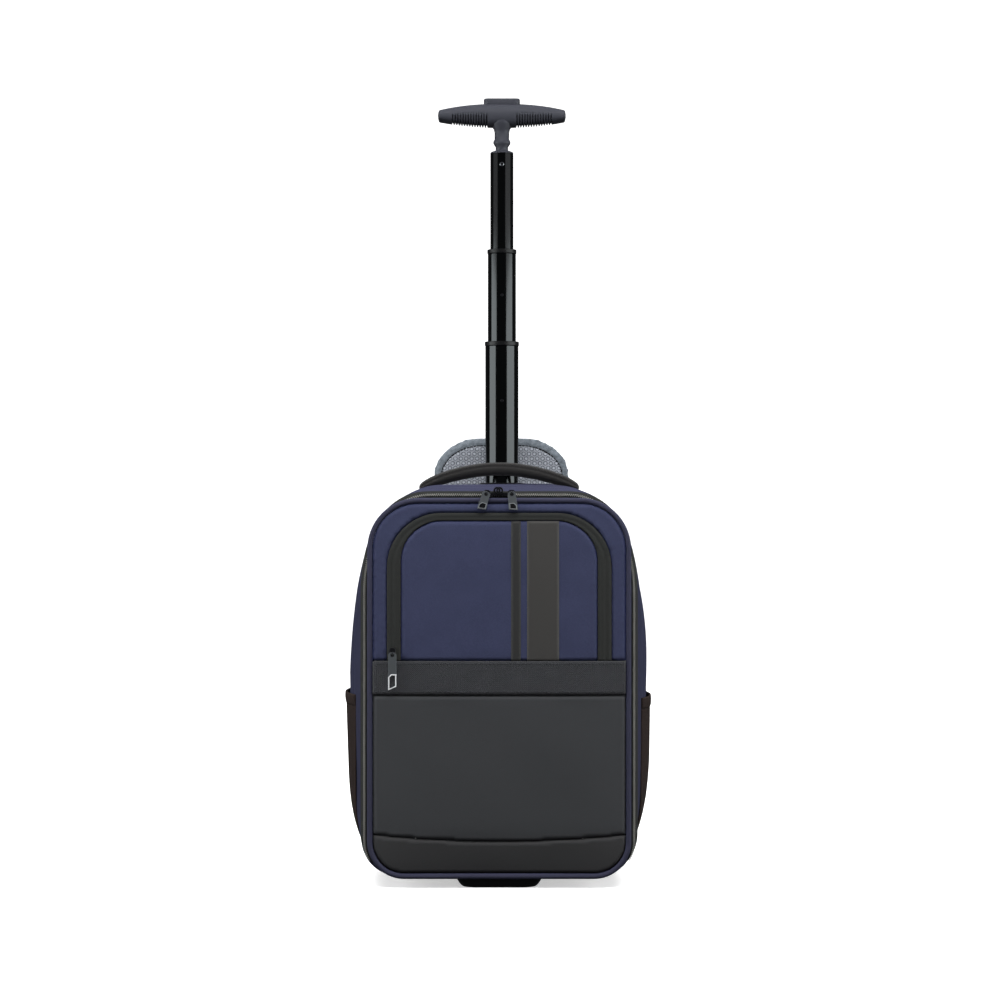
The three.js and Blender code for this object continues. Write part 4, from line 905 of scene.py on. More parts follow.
def shell_rings():
    """Rings from the middle of the back, forwards outside, then back again inside the wall."""
    depths = np.concatenate([np.linspace(SHELL_FRONT, BAG_DEPTH, 60)]
                            + [seam + np.array([-2.4, -1.2, -0.5, 0, 0.5, 1.2, 2.4])
                               for seam in SHELL_SEAMS])
    outside = []
    for y in np.unique(depths):
        line = shell_section(y, count=AROUND)
        seam = sum(SEAM_DIP * math.exp(-((y - s) / SEAM_WIDTH) ** 2) for s in SHELL_SEAMS)
        calm = min((y - SHELL_FRONT) / WAVE_FADE, (BAG_DEPTH - y) / WAVE_FADE, 1)
        places = np.stack([np.arange(AROUND) * 5.0, np.full(AROUND, y)], 1)
        waves = WAVE_HIGH * calm * soft_noise(places, WAVE_LONG, 21)
        line = line + outward(line) * (waves - seam)[:, None]
        outside.append(np.insert(line, 1, y, 1))
    middle = np.array([0, BAG_DEPTH, (outside[-1][:, 2].min() + outside[-1][:, 2].max()) / 2])
    back = [middle + (outside[-1] - middle) * share for share in (0.06, 0.2, 0.4, 0.6, 0.8, 0.93)]
    inside = []
    for y in np.linspace(SHELL_FRONT, BAG_DEPTH - SHELL_WALL, 40):
        line = shell_section(y, count=AROUND)
        inside.append(np.insert(line - outward(line) * SHELL_WALL, 1, y, 1))
    inner_middle = middle - [0, SHELL_WALL, 0]
    inner_back = [inner_middle + (inside[-1] - inner_middle) * share for share in (0.8, 0.5, 0.2, 0.06)]
    return back + outside[::-1] + inside + inner_back


shell = piece("main_shell_cloth", skin_of(shell_rings()), side_twill, replaces=["main_shell"])
print("shell faces:", len(shell.data.polygons))

# %% [markdown]
# ## Cutting one shape out of another
# The pole and the wheel housings go through the cloth. Each opening is cut with a slightly
# larger copy of what passes through it.

# %% Cuts
def settled(made):
    """Makes the result of a piece's modifiers its own mesh."""
    graph = bpy.context.evaluated_depsgraph_get()
    mesh = bpy.data.meshes.new_from_object(made.evaluated_get(graph), depsgraph=graph)
    made.modifiers.clear()
    made.data = mesh
    return mesh


def cut(made, cutters):
    for cutter in cutters:
        modifier = made.modifiers.new("cut", "BOOLEAN")
        modifier.operation, modifier.solver, modifier.object = "DIFFERENCE", "EXACT", cutter
    bpy.context.view_layer.update()
    settled(made)
    for cutter in cutters:
        bpy.data.objects.remove(cutter)


print("cutting tool ready for", shell.name)

# %% [markdown]
# Two ways of making a body serve most of the hard parts. A lathe turns a profile round an axis, as
# for tubes, wheels and screws. A prism carries an outline along X, as for the wheel housings.

# %% Turned bodies and prisms
ON_AXIS = 0.01  # a radius so small that the ends of a turned body look closed


def lathe(profile, place, sides=72, axis="z"):
    """A turned body from (radius, height) points; a closed ring if it never touches the axis."""
    rings = []
    for radius, height in profile:
        angles = np.linspace(0, 2 * math.pi, sides, endpoint=False)
        ring = np.stack([radius * np.cos(angles), radius * np.sin(angles), np.full(sides, height)], 1)
        if axis == "x":
            ring = ring[:, [2, 0, 1]]
        if axis == "y":
            ring = ring[:, [1, 2, 0]]
        rings.append(ring)
    hollow = min(radius for radius, _ in profile) > 0.05
    points, faces = skin_of(rings, loop=hollow)
    return points + np.asarray(place, float), faces


def prism(line, left, right):
    """An outline drawn in Y and Z, carried along X."""
    return skin_of([np.insert(line, 0, left, 1), np.insert(line, 0, right, 1)])


WHEEL_X, WHEEL_Y, WHEEL_RADIUS, WHEEL_WIDTH = 118.0, 182.0, 30.0, 22.0
WHEEL_SIDE_ROOM = 1.7
HOUSING_WALL = 4.5
HOUSING_HALF = WHEEL_WIDTH / 2 + WHEEL_SIDE_ROOM + HOUSING_WALL
HOUSING_FLOOR, HOUSING_TOP = 9.0, 67.2
HOUSING_FRONT, HOUSING_BACK = 142.0, 206.0
CUT_ROOM = 0.5


def arc(centre, radius, start, end, steps=20):
    angles = np.radians(np.linspace(start, end, steps))
    return np.stack([centre[0] + radius * np.cos(angles), centre[1] + radius * np.sin(angles)], 1)


def housing_line(grow=0.0):
    front, back = HOUSING_FRONT - grow, HOUSING_BACK + grow
    floor, top = HOUSING_FLOOR - grow, HOUSING_TOP + grow
    return np.vstack([[[front, floor], [back, floor]], arc((back - 24, top - 24), 24, 0, 90),
                      arc((front + 20, top - 20), 20, 90, 180)])


POLE_HOLE = 23.2
pole_room = [(ON_AXIS, 400), (POLE_HOLE, 400), (POLE_HOLE, 470), (ON_AXIS, 470)]
cutters = [piece("pole_cutter", lathe(pole_room, POLE), side_twill)]
for side in (-1, 1):
    centre = side * WHEEL_X
    room = prism(housing_line(CUT_ROOM), centre - HOUSING_HALF - CUT_ROOM,
                 centre + HOUSING_HALF + CUT_ROOM)
    cutters.append(piece("housing_cutter", room, side_twill))
cut(shell, cutters)
print("shell faces after the cuts:", len(shell.data.polygons))

# %% [markdown]
# ## Side pockets
# Each flank carries a pocket of stretch knit. It lies tight to the bag, swells a little in the
# middle, and its hem is gathered by an elastic, so the edge shows fine even folds.

# %% Side pockets and hems
POCKET_FLOOR, POCKET_MOUTH, HEM = 24.0, {"left": 219.0, "right": 215.0}, 12.5
POCKET_FRONT, POCKET_BACK = 30.0, 150.0
KNIT, KNIT_BULGE = 1.2, 3.0
GATHER_PITCH = 5.6


def knit_reach(y, z, mouth):
    share = np.clip((y - POCKET_FRONT) / (POCKET_BACK - POCKET_FRONT), 0, 1)
    height = np.clip((z - POCKET_FLOOR) / (mouth - POCKET_FLOOR), 0, 1)
    swell = 0.25 + 0.75 * np.sin(math.pi / 2 * height)
    return SEAM_ROOM + KNIT_BULGE * np.sin(math.pi * share) ** 0.6 * swell


def knit(name, side, low, high, mouth, outer, inner, rows, replaced):
    """A sheet over the flank, closed round its edge: outer and inner give the reach of each face."""
    depths = np.linspace(POCKET_FRONT, POCKET_BACK, 96)
    levels = np.linspace(low, high, rows)
    base = np.stack([flank(y, levels, side) + knit_reach(y, levels, mouth) for y in depths], 1)
    y, z = np.meshgrid(depths, levels)
    faces = [np.stack([side * (base + reach(y, z)), y, z], 2) for reach in (outer, inner)]
    rings = [np.vstack([front, back[::-1]]) for front, back in zip(*faces)]
    piece(name, skin_of(rings), stretch_knit, replaces=[replaced])


for side, hand in ((-1, "left"), (1, "right")):
    mouth = POCKET_MOUTH[hand]
    knit(f"side_pocket_{hand}_knit", side, POCKET_FLOOR, mouth - HEM - SEAM_ROOM, mouth,
         lambda y, z: KNIT + 0.25 * np.sin(y / 4.1 + 0.02 * z) * np.maximum(z - 120, 0) / 90,
         lambda y, z: 0.0, 60, f"side_pocket_{hand}")
    knit(f"pocket_hem_{hand}_knit", side, mouth - HEM, mouth, mouth,
         lambda y, z, top=mouth: KNIT + 0.5 + 0.3 * np.sin(2 * math.pi * y / GATHER_PITCH)
         + 0.7 * np.sin(math.pi * np.clip((top - z) / HEM, 0, 1)) ** 0.5,
         lambda y, z: 0.0, 14, f"pocket_hem_{hand}")
print("side pockets: hem", HEM, "mm high")

# %% [markdown]
# ## Padded pieces
# The handle, the flap, the back pad and the shoulder straps are foam in a sewn cover. Each is
# drawn a little thin, then blown up as cloth for a moment, so that the cover takes its own
# tension. Its seams are pressed in after that.

# %% Blowing up a cover
LAST_FRAME = 20


def relaxed(made, voxel, cap, pressure=4.0):
    """Cloth pressure on an even mesh. No point moves further than cap, in mm. Then it is calmed."""
    remesh = made.modifiers.new("even", "REMESH")
    remesh.mode, remesh.voxel_size = "VOXEL", voxel * 0.001
    finish = made.data.materials[0]
    mesh = settled(made)
    mesh.materials.clear()
    mesh.materials.append(finish)
    start = np.array([v.co for v in mesh.vertices])
    cloth = made.modifiers.new("cover", "CLOTH")
    cloth.settings.quality = 5
    cloth.settings.tension_stiffness = cloth.settings.compression_stiffness = 25
    cloth.settings.bending_stiffness = 2
    cloth.settings.use_pressure = True
    cloth.settings.uniform_pressure_force = pressure
    cloth.settings.effector_weights.gravity = 0
    cloth.point_cache.frame_start, cloth.point_cache.frame_end = 1, LAST_FRAME
    for step in range(1, LAST_FRAME + 1):
        bpy.context.scene.frame_set(step)
    graph = bpy.context.evaluated_depsgraph_get()
    blown = np.array([v.co for v in made.evaluated_get(graph).data.vertices])
    made.modifiers.clear()
    bpy.context.scene.frame_set(1)
    moved = blown - start
    far = np.linalg.norm(moved, axis=1).clip(1e-9)
    moved *= np.minimum(1, cap * 0.001 / far)[:, None]
    mesh.vertices.foreach_set("co", (start + moved).ravel())
    smooth = made.modifiers.new("calm", "SMOOTH")
    smooth.factor, smooth.iterations = 0.5, 10
    print(f"{made.name}: {len(mesh.vertices)} points, moved {1000 * np.abs(moved).max():.2f} mm")
    return made


def refined(made):
    """One subdivision of the mesh itself."""
    step = made.modifiers.new("finer", "SUBSURF")
    step.levels = step.render_levels = 1
    settled(made).shade_smooth()
    return made


print("a cover is blown up over", LAST_FRAME, "frames")

# %% [markdown]
# A foam piece is cut from an outline: full in the middle and thin at the sewn edge. Its points are
# read and written in the bag's millimetres, to press seams into it and to fit it to its room.

# %% Foam pads and their points
def fitted(made, node_name, axes):
    """Stretches a blown-up piece a little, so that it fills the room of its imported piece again."""
    points = bag_points(made)
    low, high = [corner - [0, FRONT_Y, 0] for corner in span(node_name)]
    for axis in axes:
        start, end = points[:, axis].min(), points[:, axis].max()
        points[:, axis] = low[axis] + (points[:, axis] - start) * (high - low)[axis] / (end - start)
    set_points(made, points)
    return made


def bag_points(made):
    """The points of a piece in the bag's millimetres."""
    flat = np.zeros(len(made.data.vertices) * 3)
    made.data.vertices.foreach_get("co", flat)
    return flat.reshape(-1, 3) * 1000 - [0, FRONT_Y, 0]


def set_points(made, points):
    made.data.vertices.foreach_set("co", metres(points).ravel())
    made.data.update()


def centred(points, amount):
    """Moves the points of a flat padded piece towards its middle plane by amount, in mm."""
    middle = (points[:, 1].min() + points[:, 1].max()) / 2
    points[:, 1] -= np.sign(points[:, 1] - middle) * np.minimum(amount, np.abs(points[:, 1] - middle))
    return points


def pad(name, line, front, thickness, edge, pitch, finish, **options):
    """A foam pad with a rounded edge, from an outline in X and Z."""
    line = evenly(line, pitch)
    points, triangles = filled(line, pitch)
    away, _ = edge_distance(points, line)
    share = np.clip(away / edge, 0, 1)
    half = thickness / 2 * (0.12 + 0.88 * np.sqrt(1 - (1 - share) ** 2))
    middle = front + thickness / 2
    near = np.stack([points[:, 0], middle - half, points[:, 1]], 1)
    far = np.stack([points[:, 0], middle + half, points[:, 1]], 1)
    return piece(name, two_sided(near, far, triangles, len(line)), finish, **options)


flap_low, flap_high = span("back_flap")
print("room for the flap:", np.round(flap_high - flap_low).tolist(), "mm")

# %% [markdown]
# ## Stitches
# Sewing thread lies on the cloth in short raised dashes, one for each stitch. Two rows hold the
# webbing, 3.2 mm inside its edges. Real thread is about 0.5 mm thick. On the webbing and the flap
# it is drawn up to three times as thick, so that it shows at this scale.

# %% Stitches
STITCH_INSET = 3.2
STITCH_LIFT = 1.15


def stitches(name, paths, finish=thread_black, length=2.6, pitch=4.0, width=0.7):
    """Small raised threads along paths of points in space, each a softened block."""
    blocks = []
    for path in paths:
        line = evenly(path, pitch, closed=False)
        for start, end in zip(line[:-1], line[1:]):
            along = end - start
            along /= np.linalg.norm(along)
            side = np.cross(along, [0, 1, 0])
            side /= max(np.linalg.norm(side), 1e-6)
            blocks.append(block((start + end) / 2, along, side, (length / 2, width / 2, width / 2)))
    return piece(name, merged(blocks), finish)


band_x = np.linspace(-INNER_HALF + 3, INNER_HALF - 3, 80)
rows = [np.stack([band_x, face_depth(band_x, np.full(80, z)) - STITCH_LIFT, np.full(80, z)], 1)
        for z in (BAND_TOP - STITCH_INSET, BAND_LOW + STITCH_INSET)]
stitches("webbing_band_stitches", rows, finish=thread_grey, width=0.8)
print("stitch rows on the webbing:", len(rows))

# %% [markdown]
# The carry handle is a foam roll under black nylon. A stitched seam runs along its upper front
# edge, and both ends dive under the cloth of the top.

# %% Carry handle
HANDLE_Y, HANDLE_WIDE, HANDLE_THICK = 95.0, 26.0, 15.0
HANDLE_HALF, HANDLE_FOOT, HANDLE_RISE = 95.0, 460.0, 18.5
HANDLE_SEAM = 0.35  # share of half the thickness, above the middle
SEAM_DEEP, SEAM_SOFT = 2.2, 1.3
# along, rise and thickness as shares, from the middle outwards
HANDLE_CUTS = np.array([
    [0.00, 1.00, 1.00], [0.20, 0.95, 1.00], [0.45, 0.74, 1.00], [0.70, 0.36, 0.98],
    [0.90, -0.06, 0.90], [1.00, -0.36, 0.62],
])


def handle_line(count=70):
    share = np.linspace(-1, 1, count)
    rise, thick = [np.interp(np.abs(share), HANDLE_CUTS[:, 0], HANDLE_CUTS[:, i]) for i in (1, 2)]
    rise, thick = calmed(rise, 12), calmed(thick, 12)
    return share * HANDLE_HALF, HANDLE_FOOT + HANDLE_RISE * rise, thick


def superellipse(count, wide, tall, power):
    angles = np.linspace(0, 2 * math.pi, count, endpoint=False)
    c, s = np.cos(angles), np.sin(angles)
    return np.stack([wide * np.sign(c) * np.abs(c) ** (2 / power),
                     tall * np.sign(s) * np.abs(s) ** (2 / power)], 1)


handle_x, handle_z, handle_thick = handle_line()
rings = []
for x, z, thick in zip(handle_x, handle_z, handle_thick):
    ring = superellipse(32, HANDLE_WIDE / 2 - 0.6, HANDLE_THICK / 2 * thick + 0.2, 2.4)
    rings.append([[x, HANDLE_Y + u, z + v] for u, v in ring])
handle = piece("carry_handle_padded", skin_of(rings), padding_cloth, replaces=["carry_handle"])
refined(relaxed(handle, voxel=4.0, cap=1.0))
points = bag_points(handle)
centre_z = np.interp(points[:, 0], handle_x, handle_z)
half = np.interp(points[:, 0], handle_x, handle_thick) * HANDLE_THICK / 2
seam = np.exp(-((points[:, 2] - centre_z - HANDLE_SEAM * half) / SEAM_SOFT) ** 2)
outer_side = np.clip((np.abs(points[:, 1] - HANDLE_Y) - 8) / 3, 0, 1)
points[:, 1] -= np.sign(points[:, 1] - HANDLE_Y) * SEAM_DEEP * seam * outer_side
set_points(handle, points)

seam_path = np.stack([handle_x, np.full(len(handle_x), HANDLE_Y - HANDLE_WIDE / 2 + 0.7),
                      handle_z + HANDLE_SEAM * HANDLE_THICK / 2 * handle_thick], 1)[8:-8]
stitches("carry_handle_stitches", [seam_path + [0, 0.3, 1.9]], width=0.5)
print("handle span", round(2 * HANDLE_HALF), "mm")

# %% [markdown]
# The flap behind the pole and the pad on the back are faced with grey air mesh. The flap has a
# wide melange binding round its edge, sewn down with black thread, and a black lining behind.

# %% Flap
FLAP_HALF, FLAP_LOW, FLAP_HIGH = 82.0, 404.0, 516.0
PAD_FRONT, PAD_THICK = 200.3, 8.0
BINDING = 9.0
BINDING_PRESS = 1.7


def face_places(made):
    """The middle of each face in the bag's millimetres, and its normal."""
    middles, normals = np.zeros(len(made.data.polygons) * 3), np.zeros(len(made.data.polygons) * 3)
    made.data.polygons.foreach_get("center", middles)
    made.data.polygons.foreach_get("normal", normals)
    return middles.reshape(-1, 3) * 1000 - [0, FRONT_Y, 0], normals.reshape(-1, 3)


FLAP_CORNER, FLAP_LOW_CORNER = (58.0, 46.0), (6.0, 6.0)
flap_line = rounded(FLAP_HALF, FLAP_LOW, FLAP_HIGH, FLAP_LOW_CORNER, FLAP_CORNER) + [TUBE_X, 0]
flap = pad("back_flap_padded", flap_line, PAD_FRONT, PAD_THICK, 4.0, 3.6, grey_mesh,
           replaces=["back_flap"])
fitted(refined(relaxed(flap, voxel=4.0, cap=1.0)), "back_flap", (0, 2))
points = bag_points(flap)
flap_edge, _ = edge_distance(points[:, [0, 2]], evenly(flap_line, 3.0))
points = centred(points, BINDING_PRESS * np.exp(-((flap_edge - BINDING) / 1.3) ** 2))
set_points(flap, points)

middles, normals = face_places(flap)
away, _ = edge_distance(middles[:, [0, 2]], evenly(flap_line, 3.0))
choice = np.where(normals[:, 1] > 0.35, 2, np.where(away < BINDING, 1, 0))
for finish in (grey_binding, padding_cloth):
    flap.data.materials.append(finish)
flap.data.polygons.foreach_set("material_index", choice.astype(np.int32))
seam_corner = (FLAP_CORNER[0] - BINDING, FLAP_CORNER[1] - BINDING)
seam_line = evenly(rounded(FLAP_HALF - BINDING, FLAP_LOW + BINDING, FLAP_HIGH - BINDING, (3, 3),
                           seam_corner) + [TUBE_X, 0], 2.0)
seam_path = np.insert(seam_line, 1, PAD_FRONT + 0.5, 1)
stitches("back_flap_stitches", [seam_path], length=3.8, pitch=4.2, width=1.5)
print("flap:", len(flap.data.polygons), "faces")

# %% [markdown]
# The back pad and the shoulder straps don't show in the photograph. They are made as on most bags
# of this kind: one mesh-faced pad with two pressed channels, and straps that lie flat on it.

# %% Back pad and shoulder straps
BACK_HALF, BACK_LOW, BACK_HIGH = 125.0, 140.0, 397.0
CHANNELS, CHANNEL_DEEP = (-35.0, 35.0), 3.0
back_line = rounded(BACK_HALF - 0.5, BACK_LOW + 0.5, BACK_HIGH - 0.5, (30, 30), (30, 30))
back_pad = pad("back_pad_padded", back_line, PAD_FRONT, PAD_THICK - 0.6, 9.0, 5.0, grey_mesh,
               replaces=["back_pad"])
fitted(refined(relaxed(back_pad, voxel=5.5, cap=0.8)), "back_pad", (0, 2))
points = bag_points(back_pad)
channel = sum(np.exp(-((points[:, 0] - x) / 2.5) ** 2) for x in CHANNELS)
front_half = points[:, 1] > PAD_FRONT + PAD_THICK / 2
points[:, 1] -= np.where(front_half, CHANNEL_DEEP * channel, 0)
set_points(back_pad, points)

STRAP_FRONT, STRAP_THICK, STRAP_HALF = 208.9, 10.4, 31.0
STRAP_LOW, STRAP_HIGH = 150.0, 391.0
# height, how far out and width as shares
STRAP_CUTS = np.array([
    [0.00, 0.80, 0.74], [0.04, 0.80, 0.80], [0.30, 0.74, 0.88], [0.60, 0.58, 1.00],
    [0.85, 0.42, 1.00], [0.97, 0.36, 0.98], [1.00, 0.35, 0.92],
])


def strap_line(side):
    share = np.linspace(0, 1, 90)
    out, wide = [np.interp(share, STRAP_CUTS[:, 0], STRAP_CUTS[:, i]) for i in (1, 2)]
    out = calmed(out, 10)
    z = STRAP_LOW + 0.6 + (STRAP_HIGH - STRAP_LOW - 1.2) * share
    centre, half = side * out * BACK_HALF, wide * STRAP_HALF
    return np.vstack([np.stack([centre + half, z], 1), np.stack([centre - half, z], 1)[::-1]])


for side, hand in ((-1, "left"), (1, "right")):
    line = strap_line(side)
    strap = pad(f"shoulder_strap_{hand}_padded", line, STRAP_FRONT, STRAP_THICK, 5.0, 4.0,
                padding_cloth, replaces=[f"shoulder_strap_{hand}"])
    fitted(refined(relaxed(strap, voxel=4.5, cap=0.6)), f"shoulder_strap_{hand}", (0, 2))
    points = bag_points(strap)
    away, _ = edge_distance(points[:, [0, 2]], evenly(line, 3.0))
    set_points(strap, centred(points, 1.5 * np.exp(-((away - 6.0) / 1.4) ** 2)))
print("straps:", round(STRAP_HIGH - STRAP_LOW), "mm long as they lie")

# %% [markdown]
# From the foot of each strap a flat webbing runs down to the bag. It is woven 2 mm thick, too
# stiff to fold, so it is drawn directly as a band along a path.

# %% Strap webbing
# height, how far out, how far back, as shares
WEBBING_CUTS = np.array([[0.00, 0.94, 0.00], [0.18, 0.92, 0.00], [0.60, 0.86, 0.40], [1.00, 0.80, 1.00]])
WEBBING_LOW, WEBBING_HIGH, WEBBING_RISE = 84.0, 149.6, 11.8
WEBBING_HALF, WEBBING_THICK = 12.5, 1.9
for side, hand in ((-1, "left"), (1, "right")):
    share = np.linspace(0, 1, 40)
    out, deep = [np.interp(share, WEBBING_CUTS[:, 0], WEBBING_CUTS[:, i]) for i in (1, 2)]
    deep = calmed(deep, 4)
    rings = []
    for s, o, d in zip(share, out, deep):
        section = superellipse(24, WEBBING_HALF, WEBBING_THICK / 2, 5.0)
        z = WEBBING_LOW + (WEBBING_HIGH - WEBBING_LOW) * s
        rings.append([[side * o * BACK_HALF + u, PAD_FRONT + 1.0 + WEBBING_RISE * d + v, z]
                      for u, v in section])
    piece(f"strap_webbing_{hand}_band", skin_of(rings), webbing, replaces=[f"strap_webbing_{hand}"],
          sharp=50)
print("strap webbing:", 2 * WEBBING_HALF, "by", WEBBING_THICK, "mm")

# %% [markdown]
# ## Sliders and pull tabs
# The die-cast slider has a shield-shaped body and a wire bridge, from which a flat tab hangs. Its
# window is a long pentagon with a rim coloured bright as a painted highlight, and a round eye holds it
# on the bridge.

# %% Rounded bodies
def bevelled(made, width=0.5, segments=3, angle=35):
    step = made.modifiers.new("edge", "BEVEL")
    step.width, step.segments = width * 0.001, segments
    step.limit_method, step.angle_limit = "ANGLE", math.radians(angle)
    step.harden_normals = True
    settled(made)
    return made


def brick(low, high):
    (x0, y0, z0), (x1, y1, z1) = low, high
    ring = [[x0, z0], [x1, z0], [x1, z1], [x0, z1]]
    return skin_of([np.insert(np.array(ring, float), 1, y, 1) for y in (y0, y1)])


def bent_wire(path, radius, sides=12):
    """A wire along points in space, with rounded section and closed ends."""
    path = np.asarray(path, float)
    along = np.gradient(path, axis=0)
    along /= np.linalg.norm(along, axis=1)[:, None]
    rings = []
    for point, direction in zip(path, along):
        side = np.cross(direction, [1.0, 0.15, 0.1])
        side /= np.linalg.norm(side)
        other = np.cross(direction, side)
        angles = np.linspace(0, 2 * math.pi, sides, endpoint=False)
        rings.append([point + radius * (math.cos(a) * side + math.sin(a) * other) for a in angles])
    return skin_of(rings)


def plate(outline, holes, front, back):
    """A flat plate in X and Z with holes, all outlines counterclockwise."""
    lines = [np.asarray(outline, float)] + [np.asarray(hole, float) for hole in holes]
    points, edges, start = [], [], 0
    for line in lines:
        edges += [[start + i, start + (i + 1) % len(line)] for i in range(len(line))]
        points += line.tolist()
        start += len(line)
    found = delaunay_2d_cdt(points, edges, [], 0, 1e-7)
    flat = np.array([list(v) for v in found[0]])
    triangles = []
    for triangle in found[2]:
        middle = flat[list(triangle)].mean(0)
        if inside(middle, lines[0]) and not any(inside(middle, hole) for hole in lines[1:]):
            triangles.append(list(triangle))
    count = len(flat)
    faces = triangles + [[i + count for i in t][::-1] for t in triangles]
    rims = {}
    for triangle in triangles:
        for a, b in zip(triangle, triangle[1:] + triangle[:1]):
            rims[(a, b)] = rims.get((a, b), 0) + 1
    faces += [[b, a, a + count, b + count] for a, b in rims if (b, a) not in rims]
    return np.vstack([np.insert(flat, 1, front, 1), np.insert(flat, 1, back, 1)]), faces


def inside(point, line):
    x, z = point
    crossings = 0
    for (x0, z0), (x1, z1) in zip(line, np.roll(line, -1, 0)):
        if (z0 > z) != (z1 > z) and x < x0 + (z - z0) / (z1 - z0) * (x1 - x0):
            crossings += 1
    return crossings % 2 == 1


print("points in a plain brick:", len(brick((0, 0, 0), (1, 1, 1))[0]))

# %% [markdown]
# Each tab is a flat blade with an eye at its top and a window below. A thin raised rim runs round
# the window, coloured lighter than the blade as a painted highlight. The two main tabs are closed with
# a black plate behind the window as painted shade, the longer pocket tab is open.

# %% Pull tabs
TAB_WIDE, TAB_THICK = 10.0, 1.6
WINDOW_EDGE = 1.7
BAIL_WIRE = 0.75


def turned_in_place(skin_parts, origin, swing, lean):
    """Leans a hanging piece forwards and swings it sideways about its top, then puts it in place."""
    points, faces = skin_parts
    swing, lean = math.radians(swing), math.radians(lean)
    leaned = points @ np.array([[1, 0, 0], [0, math.cos(lean), math.sin(lean)],
                                [0, -math.sin(lean), math.cos(lean)]])
    swung = leaned @ np.array([[math.cos(swing), 0, -math.sin(swing)], [0, 1, 0],
                               [math.sin(swing), 0, math.cos(swing)]])
    return swung + np.asarray(origin, float), faces


def tab_outlines(length, slant, tall):
    """Blade, eye, window and window frame; the window is a long pentagon with one cut corner."""
    half, inner, neck = TAB_WIDE / 2, TAB_WIDE / 2 - WINDOW_EDGE, TAB_WIDE / 2 - 0.4
    shoulder = tall - length
    blade = [[-half * 0.5, -0.2], [-neck, -2.6], [-neck, shoulder + 2], [-half, shoulder],
             [-half, -length], [half, slant - length], [half, shoulder], [neck, shoulder + 2],
             [neck, -2.6], [half * 0.5, -0.2]]
    eye = arc((0, -3.3), 2.1, 0, 345, 24)
    low, high = 1.9 - length, shoulder
    lift = slant * inner / half
    window = [[-inner, low], [inner, low + lift], [inner, high], [-inner + 2.4, high],
              [-inner, high - 2.6]]
    out = 1.25 if length > 30 else 0.7
    frame = [[-inner - out, low - out * 1.3], [inner + out, low + lift - out * 0.6],
             [inner + out, high + out], [-inner + 1.9, high + out], [-inner - out, high - 2.1]]
    return [np.array(line, float) for line in (blade, eye, window, frame)]


def make_tab(name, length, origin, swing, lean, replaced, slant, tall, mirror=1, edge=painted_highlight_edge):
    outlines = tab_outlines(length, slant, tall)
    blade, eye, window, frame = [line[::mirror] * [mirror, 1] for line in outlines]
    half = TAB_THICK / 2
    solid = turned_in_place(plate(blade, [eye, window], -half, half), origin, swing, lean)
    bevelled(piece(name, solid, smoked_zinc, replaces=[replaced]), 0.35, 2, 25)
    # The rim is coloured lighter than the blade: a painted highlight.
    rim = turned_in_place(plate(frame, [window], -half - 0.25, -half + 0.3), origin, swing, lean)
    bevelled(piece(f"{name}_rim", rim, edge), 0.12, 2, 25)
    # Painted shade: the main tabs get a black plate at the back of the window.
    if edge is painted_highlight_edge:
        painted_shade_plate = turned_in_place(plate(window, [], 0.1, half), origin, swing, lean)
        piece(f"{name}_inlay", painted_shade_plate, thread_black)


def bail(x, y, z, deep, tall):
    """The wire bridge of a slider: a ring seen from the side, half of it sunk in the casting."""
    loop = arc((0, 0), 1, 0, 360, 40)
    return bent_wire(np.stack([np.full(40, x), y + deep * loop[:, 0], z + tall * loop[:, 1]], 1), BAIL_WIRE)


ZIP_LINE = FACE_TOP + 3.0
SLIDER_BACK = 9.6
SLIDER_X = 14.0
for side, hand, swing in ((-1, "left", 17.0), (1, "right", -5.7)):
    x = SLIDER_X * side
    shield = np.array([[x - 4.5, ZIP_LINE - 2], [x + 4.5, ZIP_LINE - 2], [x + 3.9, ZIP_LINE + 4.6],
                       [x + 2.2, ZIP_LINE + 6], [x - 2.2, ZIP_LINE + 6], [x - 3.9, ZIP_LINE + 4.6]])
    top_plate = plate(shield, [], SLIDER_BACK - 3.5, SLIDER_BACK - 2.0)
    low_plate = plate(shield, [], SLIDER_BACK - 1.2, SLIDER_BACK)
    nose = brick((min(x, -0.2 * side), SLIDER_BACK - 2.6, ZIP_LINE - 0.8),
                 (max(x, -0.2 * side), SLIDER_BACK - 0.4, ZIP_LINE + 3.2))
    bail_top = ZIP_LINE + 4.2
    wire = bail(x, 4.1, bail_top - 2.6, 4.4, 2.4)
    lock_ring = lathe([(2.1, -0.7), (3.9, -0.7), (4.1, 0), (3.9, 0.7), (2.1, 0.7), (1.9, 0)],
                      [side * 1.6 - 1.0, SLIDER_BACK - 3.2 - 1.5 * side, ZIP_LINE + 5.4], 32, "y")
    slider = piece(f"main_slider_{hand}_cast",
                   merged([top_plate, low_plate, nose, wire, lock_ring]), black_zinc,
                   replaces=[f"main_slider_{hand}"], sharp=40)
    bevelled(slider, 0.25, 2, 40)
    make_tab(f"main_tab_{hand}_plate", 22.0, (x, 1.2, bail_top + 0.2), swing, -3.0,
             f"main_tab_{hand}", 1.6, 8.0, mirror=-side)

slider_x, slider_top = -POCKET_HALF + 6.5, BAND_TOP + 15.0
pocket_back = float(face_depth(slider_x, slider_top)) + 0.1
shield = np.array([[slider_x - 4, slider_top - 9], [slider_x + 4, slider_top - 9],
                   [slider_x + 3.6, slider_top - 2], [slider_x + 2, slider_top],
                   [slider_x - 2, slider_top], [slider_x - 3.6, slider_top - 2]])
bail_top = BAND_TOP + 10.0
wire = bail(slider_x, pocket_back - 4.2, bail_top - 2.4, 3.2, 2.3)
slider = piece("pocket_slider_cast",
               merged([plate(shield, [], pocket_back - 3.4, pocket_back - 0.2), wire]),
               black_zinc, replaces=["pocket_slider"], sharp=40)
bevelled(slider, 0.3, 2, 40)
make_tab("pocket_tab_plate", 43.0, (slider_x, pocket_back - 6.4, bail_top + 0.2), 0.0, 0.0,
         "pocket_tab", 4.6, 17.0, edge=painted_highlight_rim)
